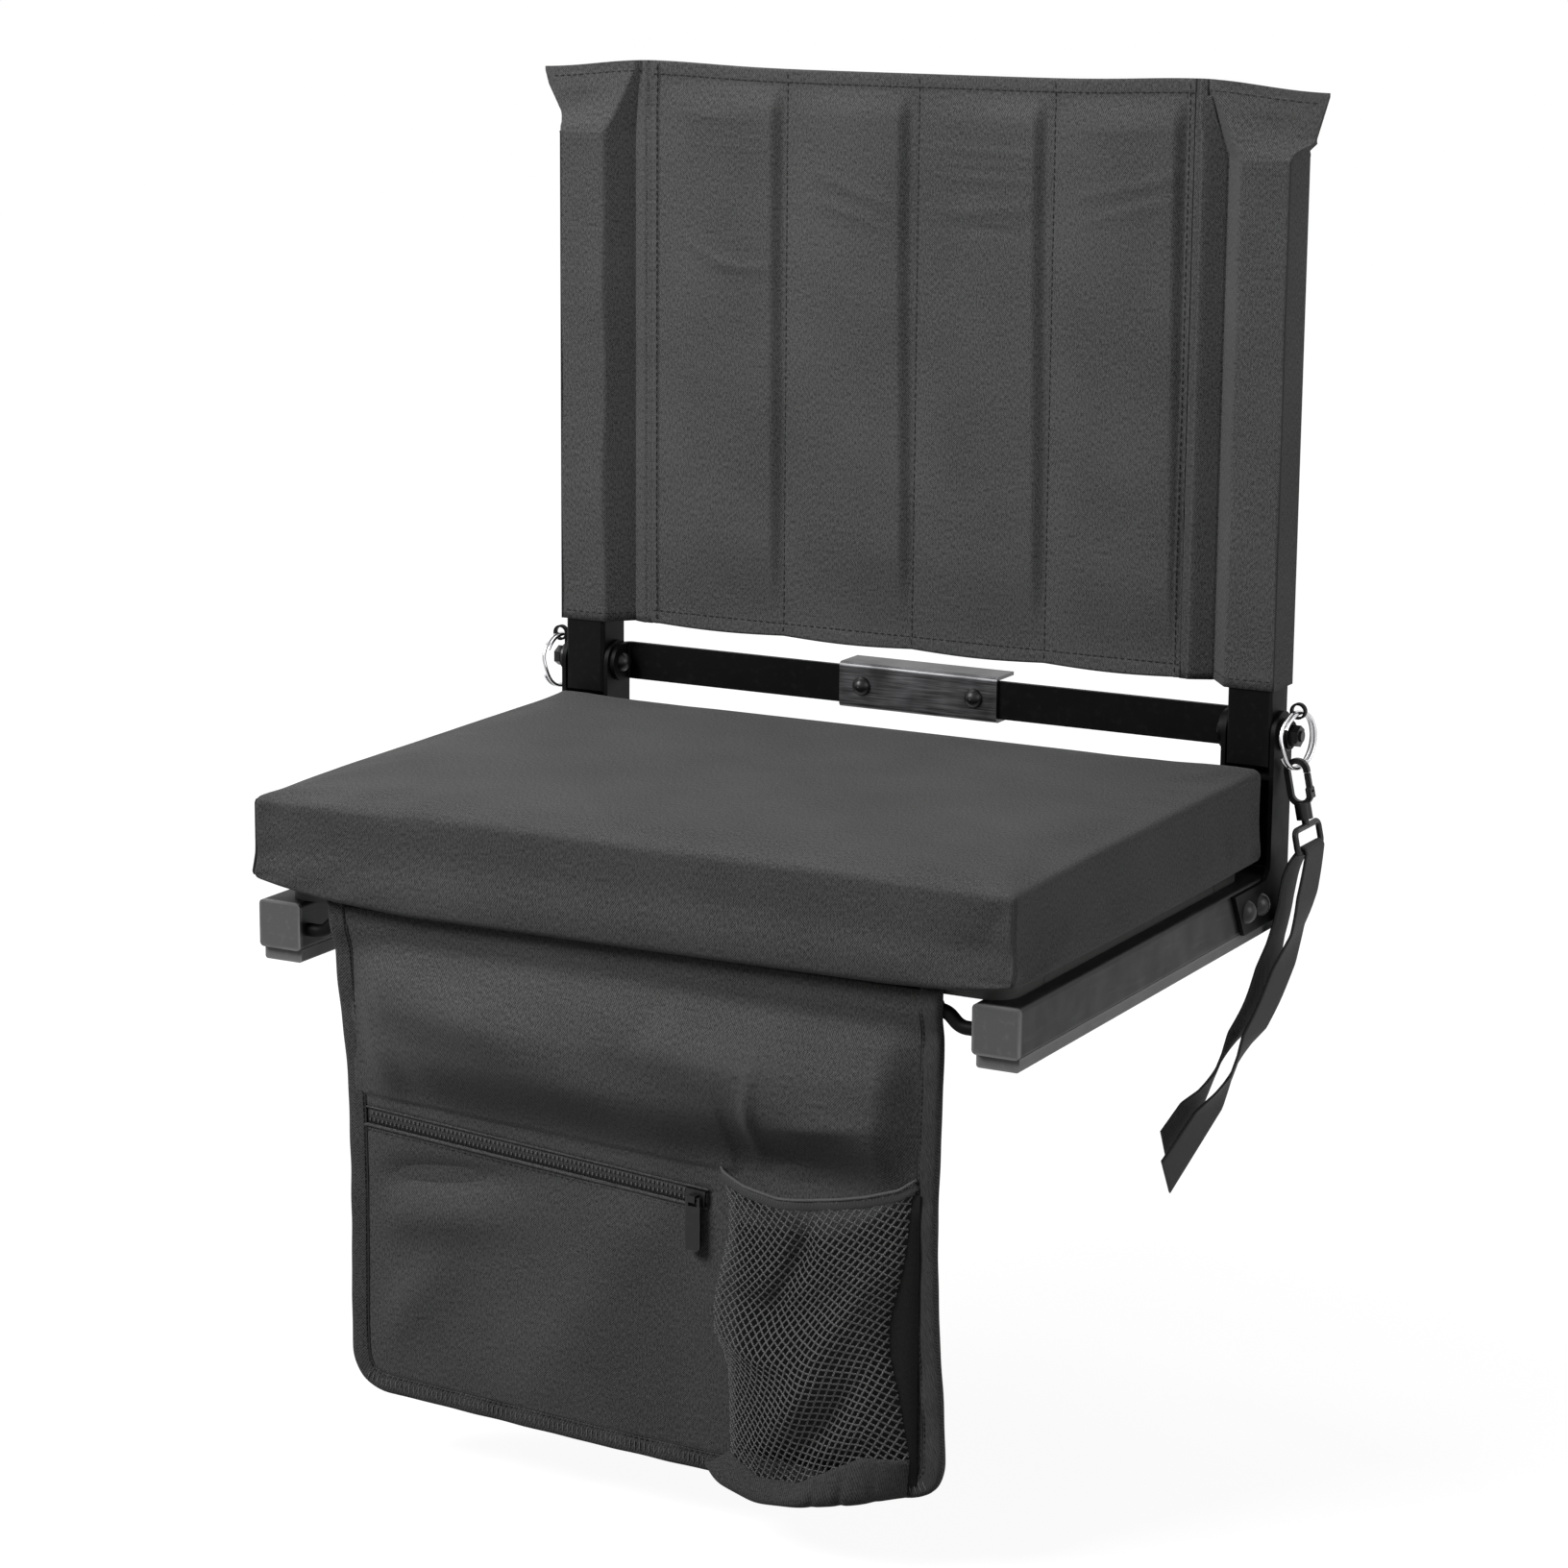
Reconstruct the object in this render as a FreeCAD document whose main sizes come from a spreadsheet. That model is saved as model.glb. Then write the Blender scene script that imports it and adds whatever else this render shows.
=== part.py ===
import FreeCAD, Part
import math
import os

import Sketcher
from FreeCAD import Placement, Rotation, Vector

# A folding bleacher seat: a steel seat frame with a boxed cushion, a back of two
# square tubes in a sewn sling, a pocket bag on a rod under the front edge, and
# carrying rings with a snap hook and a webbing strap. Millimetres. X runs to the
# sitter's left seen from the front, Y to the back and Z up. The origin lies midway
# between the rails, at the front of their caps and on the underside of the feet.

SIZES = [
    # Seat frame
    ("frame_width", 432.0, "outside of the two seat rails"),
    ("rail_length", 330.0, "rail with both end caps"),
    ("tube_side", 25.0, "square tube, outside"),
    ("tube_wall", 1.5, "square tube, wall"),
    ("tube_corner", 2.5, "square tube, outer corner radius"),
    ("cap_face", 2.0, "thickness of a tube cap's face"),
    ("cap_plug", 12.0, "depth of a tube cap's plug"),
    ("plug_fit", 0.1, "gap between a plug and its tube, each side"),
    ("foot_height", 7.0, "foot strip under a rail"),
    ("foot_inset", 1.2, "foot strip set in from the rail's sides"),
    ("foot_setback", 3.0, "foot strip set back from the rail's front"),
    ("foot_corner", 1.6, "lower corner radius of a foot strip"),
    ("stretcher_side", 20.0, "rear stretcher, square tube"),
    ("stretcher_back", 250.0, "rear face of the rear stretcher"),
    ("board_thickness", 9.0, "seat board"),
    ("board_overlap", 15.0, "seat board's bearing on each rail"),
    ("board_front", 8.0, "front edge of the seat board"),
    ("board_rear_gap", 7.0, "seat board's rear edge to the uprights"),
    ("board_corner", 14.0, "corner radius of the seat board"),
    ("board_screw_inset", 40.0, "board screws from the board's front and rear edges"),
    ("screw_diameter", 5.0, "board screw shank"),
    ("screw_head", 10.0, "board screw head diameter"),
    ("screw_reach", 22.0, "board screw length under its head"),
    # Hinge
    ("pivot_height", 107.0, "hinge axis above the feet"),
    ("plate", 2.5, "hinge bracket sheet"),
    ("side_gap", 0.15, "running gap beside a tube in its bracket"),
    ("heel_drop", 20.0, "upright's heel below the hinge axis"),
    ("heel_gap", 0.3, "heel to its stop shelf"),
    ("leg_reach", 73.0, "bracket's leg along the rail, top edge"),
    ("leg_rake", 14.0, "slant of the leg's front edge"),
    ("leg_top_drop", 0.8, "leg's top edge below the rail's top"),
    ("leg_bottom_rise", 0.6, "leg's bottom edge above the rail's underside"),
    ("bracket_crook", 9.0, "radius between the bracket's leg and post"),
    ("pivot_bolt", 6.0, "hinge bolt shank"),
    ("shaft_fit", 0.05, "radial running gap round a shaft"),
    ("pivot_head", 11.0, "hinge bolt head diameter"),
    ("dome_height", 4.5, "dome head height"),
    ("pivot_nut", 5.0, "hinge nut height"),
    ("pivot_washer", 3.6, "spacing washer under a ring lug"),
    ("pivot_washer_round", 17.0, "spacing washer diameter"),
    ("rail_bolt", 6.0, "rail bolt shank"),
    ("rail_bolt_head", 12.5, "rail bolt head diameter"),
    ("rail_bolt_rear", 36.0, "rear rail bolt from the rail's rear end"),
    ("rail_bolt_pitch", 19.0, "between the two rail bolts"),
    ("rail_nut", 4.5, "rail nut height"),
    ("bolt_tail", 1.2, "bolt end past its nut"),
    # Brace between the hinges
    ("brace_height", 21.0, "brace bar"),
    ("brace_bar", 3.0, "brace bar thickness"),
    ("brace_front", 324.5, "front face of the brace bars"),
    ("brace_bend", 1.0, "inside bend radius of a brace bar"),
    ("brace_end_gap", 3.0, "brace bar's end from the middle"),
    ("channel_length", 97.0, "brace channel"),
    ("channel_depth", 22.0, "brace channel flange"),
    ("channel_wall", 2.0, "brace channel sheet"),
    ("channel_fit", 0.3, "gap above and below the bars in the channel"),
    ("channel_corner", 2.5, "brace channel outer bend radius"),
    ("brace_bolt_pitch", 69.0, "between the two brace bolts"),
    ("brace_bolt", 6.0, "brace bolt shank"),
    ("brace_bolt_head", 11.0, "brace bolt head diameter"),
    # Bag rod
    ("bag_rod", 7.0, "bag rod diameter"),
    ("bag_rod_back", 8.0, "bag rod's axis behind the rail fronts"),
    ("bag_rod_end", 17.0, "bag rod's ends above the feet"),
    ("bag_rod_lift", 7.0, "rise of the rod's middle over its ends"),
    ("bag_rod_lead", 6.0, "straight end of the rod beside a rail"),
    ("bag_rod_bend", 9.0, "bend radius of the rod's axis"),
    # Back
    ("upright_top", 408.0, "top of the upright's cap"),
    ("sleeve_bottom", 132.0, "lower hem of the sling"),
    ("sleeve_wall", 1.0, "sleeve cloth"),
    ("sleeve_fit", 0.35, "gap between a sleeve and its upright"),
    ("sling_top", 444.0, "top edge of the sling"),
    ("seam_half", 160.0, "sleeve seams from the middle"),
    ("ear_reach", 230.0, "tip of a sewn sleeve ear from the middle"),
    ("ear_cloth", 3.0, "thickness of the flat ear and seams"),
    ("ear_shoulder", 6.0, "ear's start above the upright's cap"),
    ("hem_height", 12.0, "flat hem above and below the channels"),
    ("channel_front_swell", 5.5, "padded channel's swell to the front"),
    ("channel_rear_swell", 3.0, "padded channel's swell to the rear"),
    ("cover_cloth", 1.0, "back cover cloth over its pads"),
    ("pad_fit", 0.3, "gap between a pad and its cover"),
    ("pad_margin", 9.0, "pad's edge from the seams beside it"),
    # Cushion
    ("cushion_width", 436.0, "seat cushion"),
    ("cushion_front", -8.5, "front face of the cushion"),
    ("cushion_rear", 302.0, "rear face of the cushion"),
    ("cushion_edge", 46.5, "cushion's height at its upper edge"),
    ("cushion_crown", 3.6, "crown over the upper edge"),
    ("cushion_draw", 3.0, "sides drawn in between the corners"),
    ("cushion_tuck", 7.0, "underside drawn in from the sides"),
    ("cushion_corner", 12.0, "corner radius of the cushion"),
    ("cushion_cloth", 1.5, "cushion cover cloth"),
    ("rest_gap", 0.3, "soft piece over what it lies on"),
    # Bag
    ("bag_half", 171.0, "bag's side edges from the middle"),
    ("bag_bottom", -228.0, "bag's lower edge"),
    ("bag_cloth", 1.5, "bag cloth"),
    ("bag_layer_gap", 0.4, "gap between the bag's layers"),
    ("bag_corner", 16.0, "lower corner radius of the bag"),
    ("bag_sleeve_half", 160.0, "rod sleeve's ends from the middle"),
    ("bag_sleeve_fit", 0.4, "gap between the rod and its sleeve"),
    ("binding_width", 10.0, "edge binding"),
    ("zip_left", -155.0, "left end of the zipper"),
    ("zip_right", 46.0, "right end of the zipper"),
    ("zip_height", -76.2, "zipper's left end"),
    ("zip_fall", 3.7, "slope of the zipper, degrees"),
    ("zip_slot", 13.0, "opening in the front panel for the zipper"),
    ("zip_edge_gap", 0.1, "gap between the tape and the slot's edge"),
    ("zip_tape", 0.9, "thickness of the zipper tape"),
    ("zip_chain", 5.0, "width of the coil chain"),
    ("zip_chain_rise", 1.2, "coil chain in front of its tape"),
    ("slider_length", 11.0, "zipper slider along the chain"),
    ("slider_width", 8.0, "zipper slider across the chain"),
    ("slider_wall", 1.2, "zipper slider's front wall"),
    ("slider_fit", 0.3, "gap between the slider and the chain"),
    ("slider_post", 3.6, "slider's post for the pull, a cube"),
    ("pull_pin", 1.4, "cross pin of the zipper pull"),
    ("pull_length", 27.0, "zipper pull below its pin"),
    ("pull_width", 8.4, "zipper pull across"),
    ("pull_plate", 1.6, "zipper pull thickness"),
    ("mesh_left", 47.0, "left seam of the mesh pocket"),
    ("mesh_right", 160.0, "right seam of the mesh pocket"),
    ("mesh_top", -84.0, "upper edge of the mesh"),
    ("mesh_bottom", -235.0, "underside of the mesh pocket"),
    ("mesh_swell", 24.0, "mesh pocket's swell to the front"),
    ("mesh_wall", 1.2, "net with its threads"),
    ("mesh_hem_height", 10.0, "bound hem of the mesh pocket"),
    ("mesh_hem_wall", 2.4, "thickness of the bound hem"),
    # Rings, hook and strap
    ("lug_strip", 1.2, "ring lug strip"),
    ("lug_width", 15.0, "ring lug under its nut"),
    ("lug_eye", 3.2, "bore radius of the lug's rolled eye"),
    ("lug_eye_length", 3.0, "rolled eye along the back"),
    ("lug_rise", 13.4, "rolled eye's axis above the hinge axis"),
    ("ring_radius", 15.0, "split ring, middle of its wire"),
    ("ring_wire", 2.0, "split ring wire"),
    ("ring_pitch", 2.45, "between the ring's two turns"),
    ("ring_crossover", 60.0, "arc over which the ring's wire changes turn, degrees"),
    ("ring_hang", 0.8, "wire below the eye's axis"),
    ("ring_turn_right", 12.0, "right ring turned out of the side plane, degrees"),
    ("ring_turn_left", -8.0, "left ring turned out of the side plane, degrees"),
    ("hook_lean", 12.0, "hook leaned out at its foot, degrees"),
    ("bow_width", 14.0, "hook bow, outside"),
    ("bow_height", 26.0, "hook bow, outside"),
    ("bow_bar", 3.0, "hook bow bar"),
    ("bow_hang", 1.5, "bow's inside top over the ring"),
    ("gate_length", 10.0, "hook gate"),
    ("gate_gap", 0.35, "gap at the gate's ends"),
    ("gate_pin", 1.6, "gate pin"),
    ("barrel_radius", 4.4, "swivel barrel"),
    ("barrel_length", 9.0, "swivel barrel"),
    ("barrel_cap", 2.0, "solid top of the barrel over the shank"),
    ("swivel_shank", 4.0, "swivel eye shank"),
    ("swivel_neck", 2.0, "shank showing under the barrel"),
    ("eye_width", 30.0, "strap eye, inside"),
    ("eye_height", 9.0, "strap eye, inside"),
    ("eye_bar", 3.4, "strap eye bar"),
    ("strap_width", 25.0, "webbing"),
    ("strap_thickness", 1.3, "webbing"),
    ("strap_fit", 0.3, "webbing over the eye's bar"),
]

doc = FreeCAD.newDocument("BleacherSeat")
sheet = doc.addObject("Spreadsheet::Sheet", "Sizes")
for row, (alias, value, note) in enumerate(SIZES, 1):
    sheet.set(f"A{row}", note)
    sheet.set(f"B{row}", str(value))
    sheet.setAlias(f"B{row}", alias)
doc.recompute()


class Size:
    """A measure with its value and the sheet expression that gives it."""

    def __init__(self, value, text):
        self.value = float(value)
        self.text = text

    def __add__(self, other):
        other = as_size(other)
        return Size(self.value + other.value, f"({self.text} + {other.text})")

    def __sub__(self, other):
        other = as_size(other)
        return Size(self.value - other.value, f"({self.text} - {other.text})")

    def __mul__(self, other):
        other = as_size(other)
        return Size(self.value * other.value, f"({self.text} * {other.text})")

    def __truediv__(self, other):
        other = as_size(other)
        return Size(self.value / other.value, f"({self.text} / {other.text})")

    def __radd__(self, other):
        return as_size(other) + self

    def __rsub__(self, other):
        return as_size(other) - self

    def __rmul__(self, other):
        return as_size(other) * self

    def __neg__(self):
        return Size(-self.value, f"(0 - {self.text})")


class Sheet:
    """The sheet's cells as sizes, by their aliases."""

    def __getattr__(self, alias):
        return Size(sheet.get(alias), "Sizes." + alias)


def as_size(number):
    """A plain number as a size."""
    return number if isinstance(number, Size) else Size(number, f"({number})")


def hypot_leg(long_side, short_side):
    """The other short side of a right-angled triangle, as a size."""
    value = math.sqrt(long_side.value**2 - short_side.value**2)
    return Size(value, f"sqrt({long_side.text}^2 - {short_side.text}^2)")


def cos_of(angle):
    """The cosine of a size in degrees, as a size."""
    return Size(math.cos(math.radians(angle.value)), f"cos({angle.text} * 1 deg)")


def sin_of(angle):
    """The sine of a size in degrees, as a size."""
    return Size(math.sin(math.radians(angle.value)), f"sin({angle.text} * 1 deg)")


def bind(thing, path, size):
    """Tie one property of an object to the sheet."""
    thing.setExpression(path, as_size(size).text)


S = Sheet()
SIDES = {"left": -1, "right": 1}
ALONG = {
    "x": Rotation(Vector(0, 1, 0), 90),
    "y": Rotation(Vector(1, 0, 0), -90),
    "z": Rotation(),
}
nodes = {}


def keep(label, thing):
    """Name an object as one sub-part of the seat."""
    thing.Label = label
    nodes[label] = thing
    return thing


# Shapes that the pieces share


def block(name, x, y, z):
    """A block between pairs of coordinates."""
    thing = doc.addObject("Part::Box", name)
    for path, axis, (low, high) in zip(("Length", "Width", "Height"), "xyz", (x, y, z)):
        bind(thing, path, as_size(high) - low)
        bind(thing, "Placement.Base." + axis, low)
    return thing


def rod(name, axis, start, radius, length):
    """A round bar from a start point along one axis."""
    thing = doc.addObject("Part::Cylinder", name)
    thing.Placement = Placement(Vector(), ALONG[axis])
    bind(thing, "Radius", radius)
    bind(thing, "Height", length)
    for letter, place in zip("xyz", start):
        bind(thing, "Placement.Base." + letter, place)
    return thing


def hex_nut(name, axis, start, bore, flats, height):
    """A hexagon nut from a start point along one axis."""
    prism = doc.addObject("Part::Prism", name + "_hex")
    prism.Polygon = 6
    prism.Placement = Placement(Vector(), ALONG[axis])
    bind(prism, "Circumradius", flats / math.sqrt(3))
    bind(prism, "Height", height)
    for letter, place in zip("xyz", start):
        bind(prism, "Placement.Base." + letter, place)
    return cut(name, prism, rod(name + "_bore", axis, start, bore, height))


def cut(name, base, *tools):
    """A piece less its tools, one after the other."""
    for number, tool in enumerate(tools):
        step = doc.addObject("Part::Cut", f"{name}_cut{number}")
        step.Base = base
        step.Tool = tool
        base = step
    return base


def fuse(name, *pieces):
    """Several shapes as one solid."""
    whole = doc.addObject("Part::MultiFuse", name)
    whole.Shapes = list(pieces)
    whole.Refine = True
    return whole


def common(name, first, second):
    """What two shapes share."""
    shared = doc.addObject("Part::Common", name)
    shared.Base = first
    shared.Tool = second
    return shared


def group(name, pieces):
    """Separate like pieces under one name."""
    several = doc.addObject("Part::Compound", name)
    several.Links = list(pieces)
    return several


def new_body(name):
    """An empty body."""
    return doc.addObject("PartDesign::Body", name)


def sketch_on(body, role, name, offset=0):
    """A sketch on one of a body's own planes, moved along the plane's normal."""
    sketch = body.newObject("Sketcher::SketchObject", name)
    plane = [item for item in body.Origin.OriginFeatures if item.Role == role][0]
    sketch.AttachmentSupport = [(plane, "")]
    sketch.MapMode = "FlatFace"
    bind(sketch, "AttachmentOffset.Base.z", offset)
    return sketch


def arc_between(start, end, radius, side):
    """The short arc of a radius, with its centre left (1) or right (-1) of the way."""
    chord = end - start
    across = Vector(-chord.y, chord.x, 0).normalize() * side
    height = math.sqrt(max(radius**2 - chord.Length**2 / 4, 0))
    centre = (start + end) / 2 + across * height
    first, last = (start, end) if side > 0 else (end, start)
    angles = [math.atan2(p.y - centre.y, p.x - centre.x) for p in (first, last)]
    circle = Part.Circle(centre, Vector(0, 0, 1), radius)
    return Part.ArcOfCircle(circle, angles[0], angles[1])


def outline(body, role, name, points, offset=0, closed=True):
    """A sketched outline, every corner tied to the sheet.

    A point is (u, v), reached by a line, or (u, v, radius, side), reached by the
    short arc of that radius whose centre lies left (1) or right (-1) of the way.
    """
    sketch = sketch_on(body, role, name, offset)
    places = [Vector(as_size(p[0]).value, as_size(p[1]).value, 0) for p in points]
    count = len(points)
    heads = []
    for index in range(count if closed else count - 1):
        start, end = places[index], places[(index + 1) % count]
        ahead = points[(index + 1) % count]
        if len(ahead) == 2:
            sketch.addGeometry(Part.LineSegment(start, end))
            heads.append((1, 2))
        else:
            radius, side = as_size(ahead[2]), ahead[3]
            sketch.addGeometry(arc_between(start, end, radius.value, side))
            heads.append((1, 2) if side > 0 else (2, 1))
            number = sketch.addConstraint(Sketcher.Constraint("Radius", index, radius.value))
            bind(sketch, f"Constraints[{number}]", radius)
    for index in range(len(heads) if closed else len(heads) - 1):
        follows = (index + 1) % len(heads)
        link = Sketcher.Constraint("Coincident", index, heads[index][1], follows, heads[follows][0])
        sketch.addConstraint(link)
    for index in range(count):
        edge, end = (index, heads[index][0]) if index < len(heads) else (index - 1, heads[-1][1])
        for kind, place, size in zip(("DistanceX", "DistanceY"), places[index], points[index]):
            tie = Sketcher.Constraint(kind, -1, 1, edge, end, place)
            number = sketch.addConstraint(tie)
            bind(sketch, f"Constraints[{number}]", size)
    return sketch


def rounded_outline(body, role, name, limits, radius, offset=0):
    """A sketched rectangle with four round corners."""
    low_u, high_u, low_v, high_v = [as_size(limit) for limit in limits]
    radius = as_size(radius)
    points = [
        (low_u + radius, low_v, radius, 1),
        (high_u - radius, low_v),
        (high_u, low_v + radius, radius, 1),
        (high_u, high_v - radius),
        (high_u - radius, high_v, radius, 1),
        (low_u + radius, high_v),
        (low_u, high_v - radius, radius, 1),
        (low_u, low_v + radius),
    ]
    return outline(body, role, name, points, offset)


def pad(body, sketch, length, both_ways=False):
    """Add a sketch's prism to a body."""
    feature = body.newObject("PartDesign::Pad", sketch.Name + "_pad")
    feature.Profile = sketch
    feature.Midplane = both_ways
    bind(feature, "Length", length)
    return feature


def pocket(body, sketch, length, both_ways=False):
    """Take a sketch's prism away from a body."""
    feature = body.newObject("PartDesign::Pocket", sketch.Name + "_pocket")
    feature.Profile = sketch
    feature.Midplane = both_ways
    bind(feature, "Length", length)
    return feature


def circles(body, role, name, centres, radius, offset=0):
    """A sketch of equal circles on one of a body's planes."""
    sketch = sketch_on(body, role, name, offset)
    radius = as_size(radius)
    for index, centre in enumerate(centres):
        u, v = [as_size(place) for place in centre]
        sketch.addGeometry(Part.Circle(Vector(u.value, v.value, 0), Vector(0, 0, 1), radius.value))
        ties = [
            (Sketcher.Constraint("DistanceX", -1, 1, index, 3, u.value), u),
            (Sketcher.Constraint("DistanceY", -1, 1, index, 3, v.value), v),
            (Sketcher.Constraint("Radius", index, radius.value), radius),
        ]
        for tie, size in ties:
            bind(sketch, f"Constraints[{sketch.addConstraint(tie)}]", size)
    return sketch


def drill(body, role, name, centres, radius, length):
    """Round holes through a body, both ways from one of its planes."""
    return pocket(body, circles(body, role, name, centres, radius), length, both_ways=True)


def dome_bolt(name, shank, head, reach, place, heading):
    """A bolt with a domed head; its shank runs from the place, heading degrees round Z from +X."""
    body = new_body(name)
    half_head, half_shank = head / 2, shank / 2
    crown = (half_head * half_head + S.dome_height * S.dome_height) / (2 * S.dome_height)
    profile = [
        (-S.dome_height, 0),
        (as_size(0), half_head, crown, -1),
        (as_size(0), half_shank),
        (reach, half_shank),
        (reach, 0),
    ]
    sketch = outline(body, "XY_Plane", name + "_profile", profile)
    turned = body.newObject("PartDesign::Revolution", name + "_turned")
    turned.Profile = sketch
    turned.ReferenceAxis = (sketch, ["H_Axis"])
    turned.Angle = 360
    body.Placement = Placement(Vector(), Rotation(Vector(0, 0, 1), heading))
    for letter, at in zip("xyz", place):
        bind(body, "Placement.Base." + letter, at)
    return body


# Places that several pieces share

rail_inside = S.frame_width / 2 - S.tube_side
rail_middle = S.frame_width / 2 - S.tube_side / 2
rail_under = S.foot_height
rail_centre = S.foot_height + S.tube_side / 2
rail_over = S.foot_height + S.tube_side
half_tube = S.tube_side / 2
half_bore = half_tube - S.tube_wall
bore_corner = S.tube_corner - S.tube_wall
pivot_back = S.rail_length - half_tube
upright_front = S.rail_length - S.tube_side
heel_height = S.pivot_height - S.heel_drop
shelf_top = heel_height - S.heel_gap
half_bracket = half_tube + S.side_gap + S.plate
rail_bolt_places = [
    (S.rail_length - S.rail_bolt_rear, rail_centre),
    (S.rail_length - S.rail_bolt_rear - S.rail_bolt_pitch, rail_centre),
]
tab_face = half_bracket + S.brace_bar
lug_seat = half_bracket + S.pivot_washer
lug_face = lug_seat + S.lug_strip
eye_reach = rail_middle + lug_face + S.lug_eye
eye_height = S.pivot_height + S.lug_rise
rod_height = S.bag_rod_end + S.bag_rod_lift
cushion_under = rail_over + S.board_thickness + S.rest_gap
panel_back = S.bag_rod_back - S.bag_cloth / 2
front_panel_back = panel_back - S.bag_layer_gap
front_panel_face = front_panel_back - S.bag_cloth
binding_face = front_panel_face - S.bag_layer_gap - S.bag_cloth


# Seat frame


def square_tube(name, low, high):
    """A square tube with round corners lying along Y between two places."""
    body = new_body(name)
    limits = (-half_tube, half_tube, rail_under, rail_over)
    wall = S.tube_wall
    bore = (-half_bore, half_bore, rail_under + wall, rail_over - wall)
    outer = rounded_outline(body, "XZ_Plane", name + "_outer", limits, S.tube_corner, -high)
    pad(body, outer, high - low)
    inner = rounded_outline(body, "XZ_Plane", name + "_inner", bore, bore_corner, -low)
    pocket(body, inner, high - low)
    return body


def tube_cap(name, half_side, centre, front, inward):
    """A plug cap on the end of a tube along Y; inward is 1 if the plug points to +Y."""
    body = new_body(name)
    face = (-half_side, half_side, centre - half_side, centre + half_side)
    plug_half = half_bore - S.plug_fit
    plug = (-plug_half, plug_half, centre - plug_half, centre + plug_half)
    face_start = front + S.cap_face if inward > 0 else front
    cover = rounded_outline(body, "XZ_Plane", name + "_face", face, S.tube_corner, -face_start)
    pad(body, cover, S.cap_face)
    plug_start = front + S.cap_face + S.cap_plug if inward > 0 else front
    core = rounded_outline(body, "XZ_Plane", name + "_plug", plug, bore_corner, -plug_start)
    pad(body, core, S.cap_plug)
    return body


def seat_rails():
    """Both seat rails with their caps, foot strips and hinge brackets."""
    rear_caps = []
    for side, sign in SIDES.items():
        place = sign * rail_middle
        rail = square_tube(side + "_rail", S.cap_face, S.rail_length - S.cap_face)
        bolt_hole = S.rail_bolt / 2 + S.shaft_fit
        drill(rail, "YZ_Plane", side + "_rail_holes", rail_bolt_places, bolt_hole, S.tube_side * 2)
        bind(rail, "Placement.Base.x", place)
        keep(side + "_seat_rail", rail)

        front = tube_cap(side + "_front_plug", half_tube, rail_centre, as_size(0), 1)
        bind(front, "Placement.Base.x", place)
        keep(side + "_front_cap", front)

        rear_face = S.rail_length
        rear = tube_cap(side + "_rear_plug", half_tube, rail_centre, rear_face, -1)
        bind(rear, "Placement.Base.x", place)
        rear_caps.append(rear)

        foot = new_body(side + "_foot")
        half_foot = half_tube - S.foot_inset
        corner = S.foot_corner
        section = [
            (-half_foot, S.foot_height),
            (-half_foot, corner),
            (-half_foot + corner, as_size(0), corner, 1),
            (half_foot - corner, as_size(0)),
            (half_foot, corner, corner, 1),
            (half_foot, S.foot_height),
        ]
        sketch = outline(foot, "XZ_Plane", side + "_foot_section", section, -S.rail_length)
        pad(foot, sketch, S.rail_length - S.foot_setback)
        bind(foot, "Placement.Base.x", place)
        keep(side + "_foot_strip", foot)
    keep("rail_rear_caps", group("rear_caps", rear_caps))


def hinge_brackets():
    """A folded U bracket on each rail: two cheeks, a rear web and a heel stop shelf."""
    for side, sign in SIDES.items():
        body = new_body(side + "_bracket")
        leg_top = rail_over - S.leg_top_drop
        leg_bottom = rail_under + S.leg_bottom_rise
        leg_front = S.rail_length - S.leg_reach
        crook = S.bracket_crook
        cheek = [
            (leg_front, leg_top),
            (leg_front + S.leg_rake, leg_bottom),
            (S.rail_length, leg_bottom),
            (S.rail_length, S.pivot_height),
            (pivot_back, S.pivot_height + half_tube, half_tube, 1),
            (upright_front, S.pivot_height, half_tube, 1),
            (upright_front, leg_top + crook),
            (upright_front - crook, leg_top, crook, -1),
        ]
        width = half_bracket * 2
        pad(body, outline(body, "YZ_Plane", side + "_cheek", cheek), width, both_ways=True)
        past = S.tube_side
        shelf_under = shelf_top - S.plate
        web_front = S.rail_length - S.plate
        rail_clear = rail_over + S.side_gap
        inside = [
            (leg_front - past, as_size(0)),
            (S.rail_length + past, as_size(0)),
            (S.rail_length + past, rail_clear),
            (web_front, rail_clear),
            (web_front, shelf_under),
            (leg_front - past, shelf_under),
        ]
        mouth = (half_tube + S.side_gap) * 2
        lower = outline(body, "YZ_Plane", side + "_below_shelf", inside)
        pocket(body, lower, mouth, both_ways=True)
        above = [
            (upright_front - past, shelf_top),
            (S.rail_length + past, shelf_top),
            (S.rail_length + past, S.pivot_height + S.tube_side),
            (upright_front - past, S.pivot_height + S.tube_side),
        ]
        upper = outline(body, "YZ_Plane", side + "_above_shelf", above)
        pocket(body, upper, mouth, both_ways=True)
        pivot_hole = S.pivot_bolt / 2 + S.shaft_fit
        pivot_place = [(pivot_back, S.pivot_height)]
        drill(body, "YZ_Plane", side + "_pivot_holes", pivot_place, pivot_hole, width * 2)
        bolt_hole = S.rail_bolt / 2 + S.shaft_fit
        drill(body, "YZ_Plane", side + "_leg_holes", rail_bolt_places, bolt_hole, width * 2)
        bind(body, "Placement.Base.x", sign * rail_middle)
        keep(side + "_hinge_bracket", body)


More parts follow.
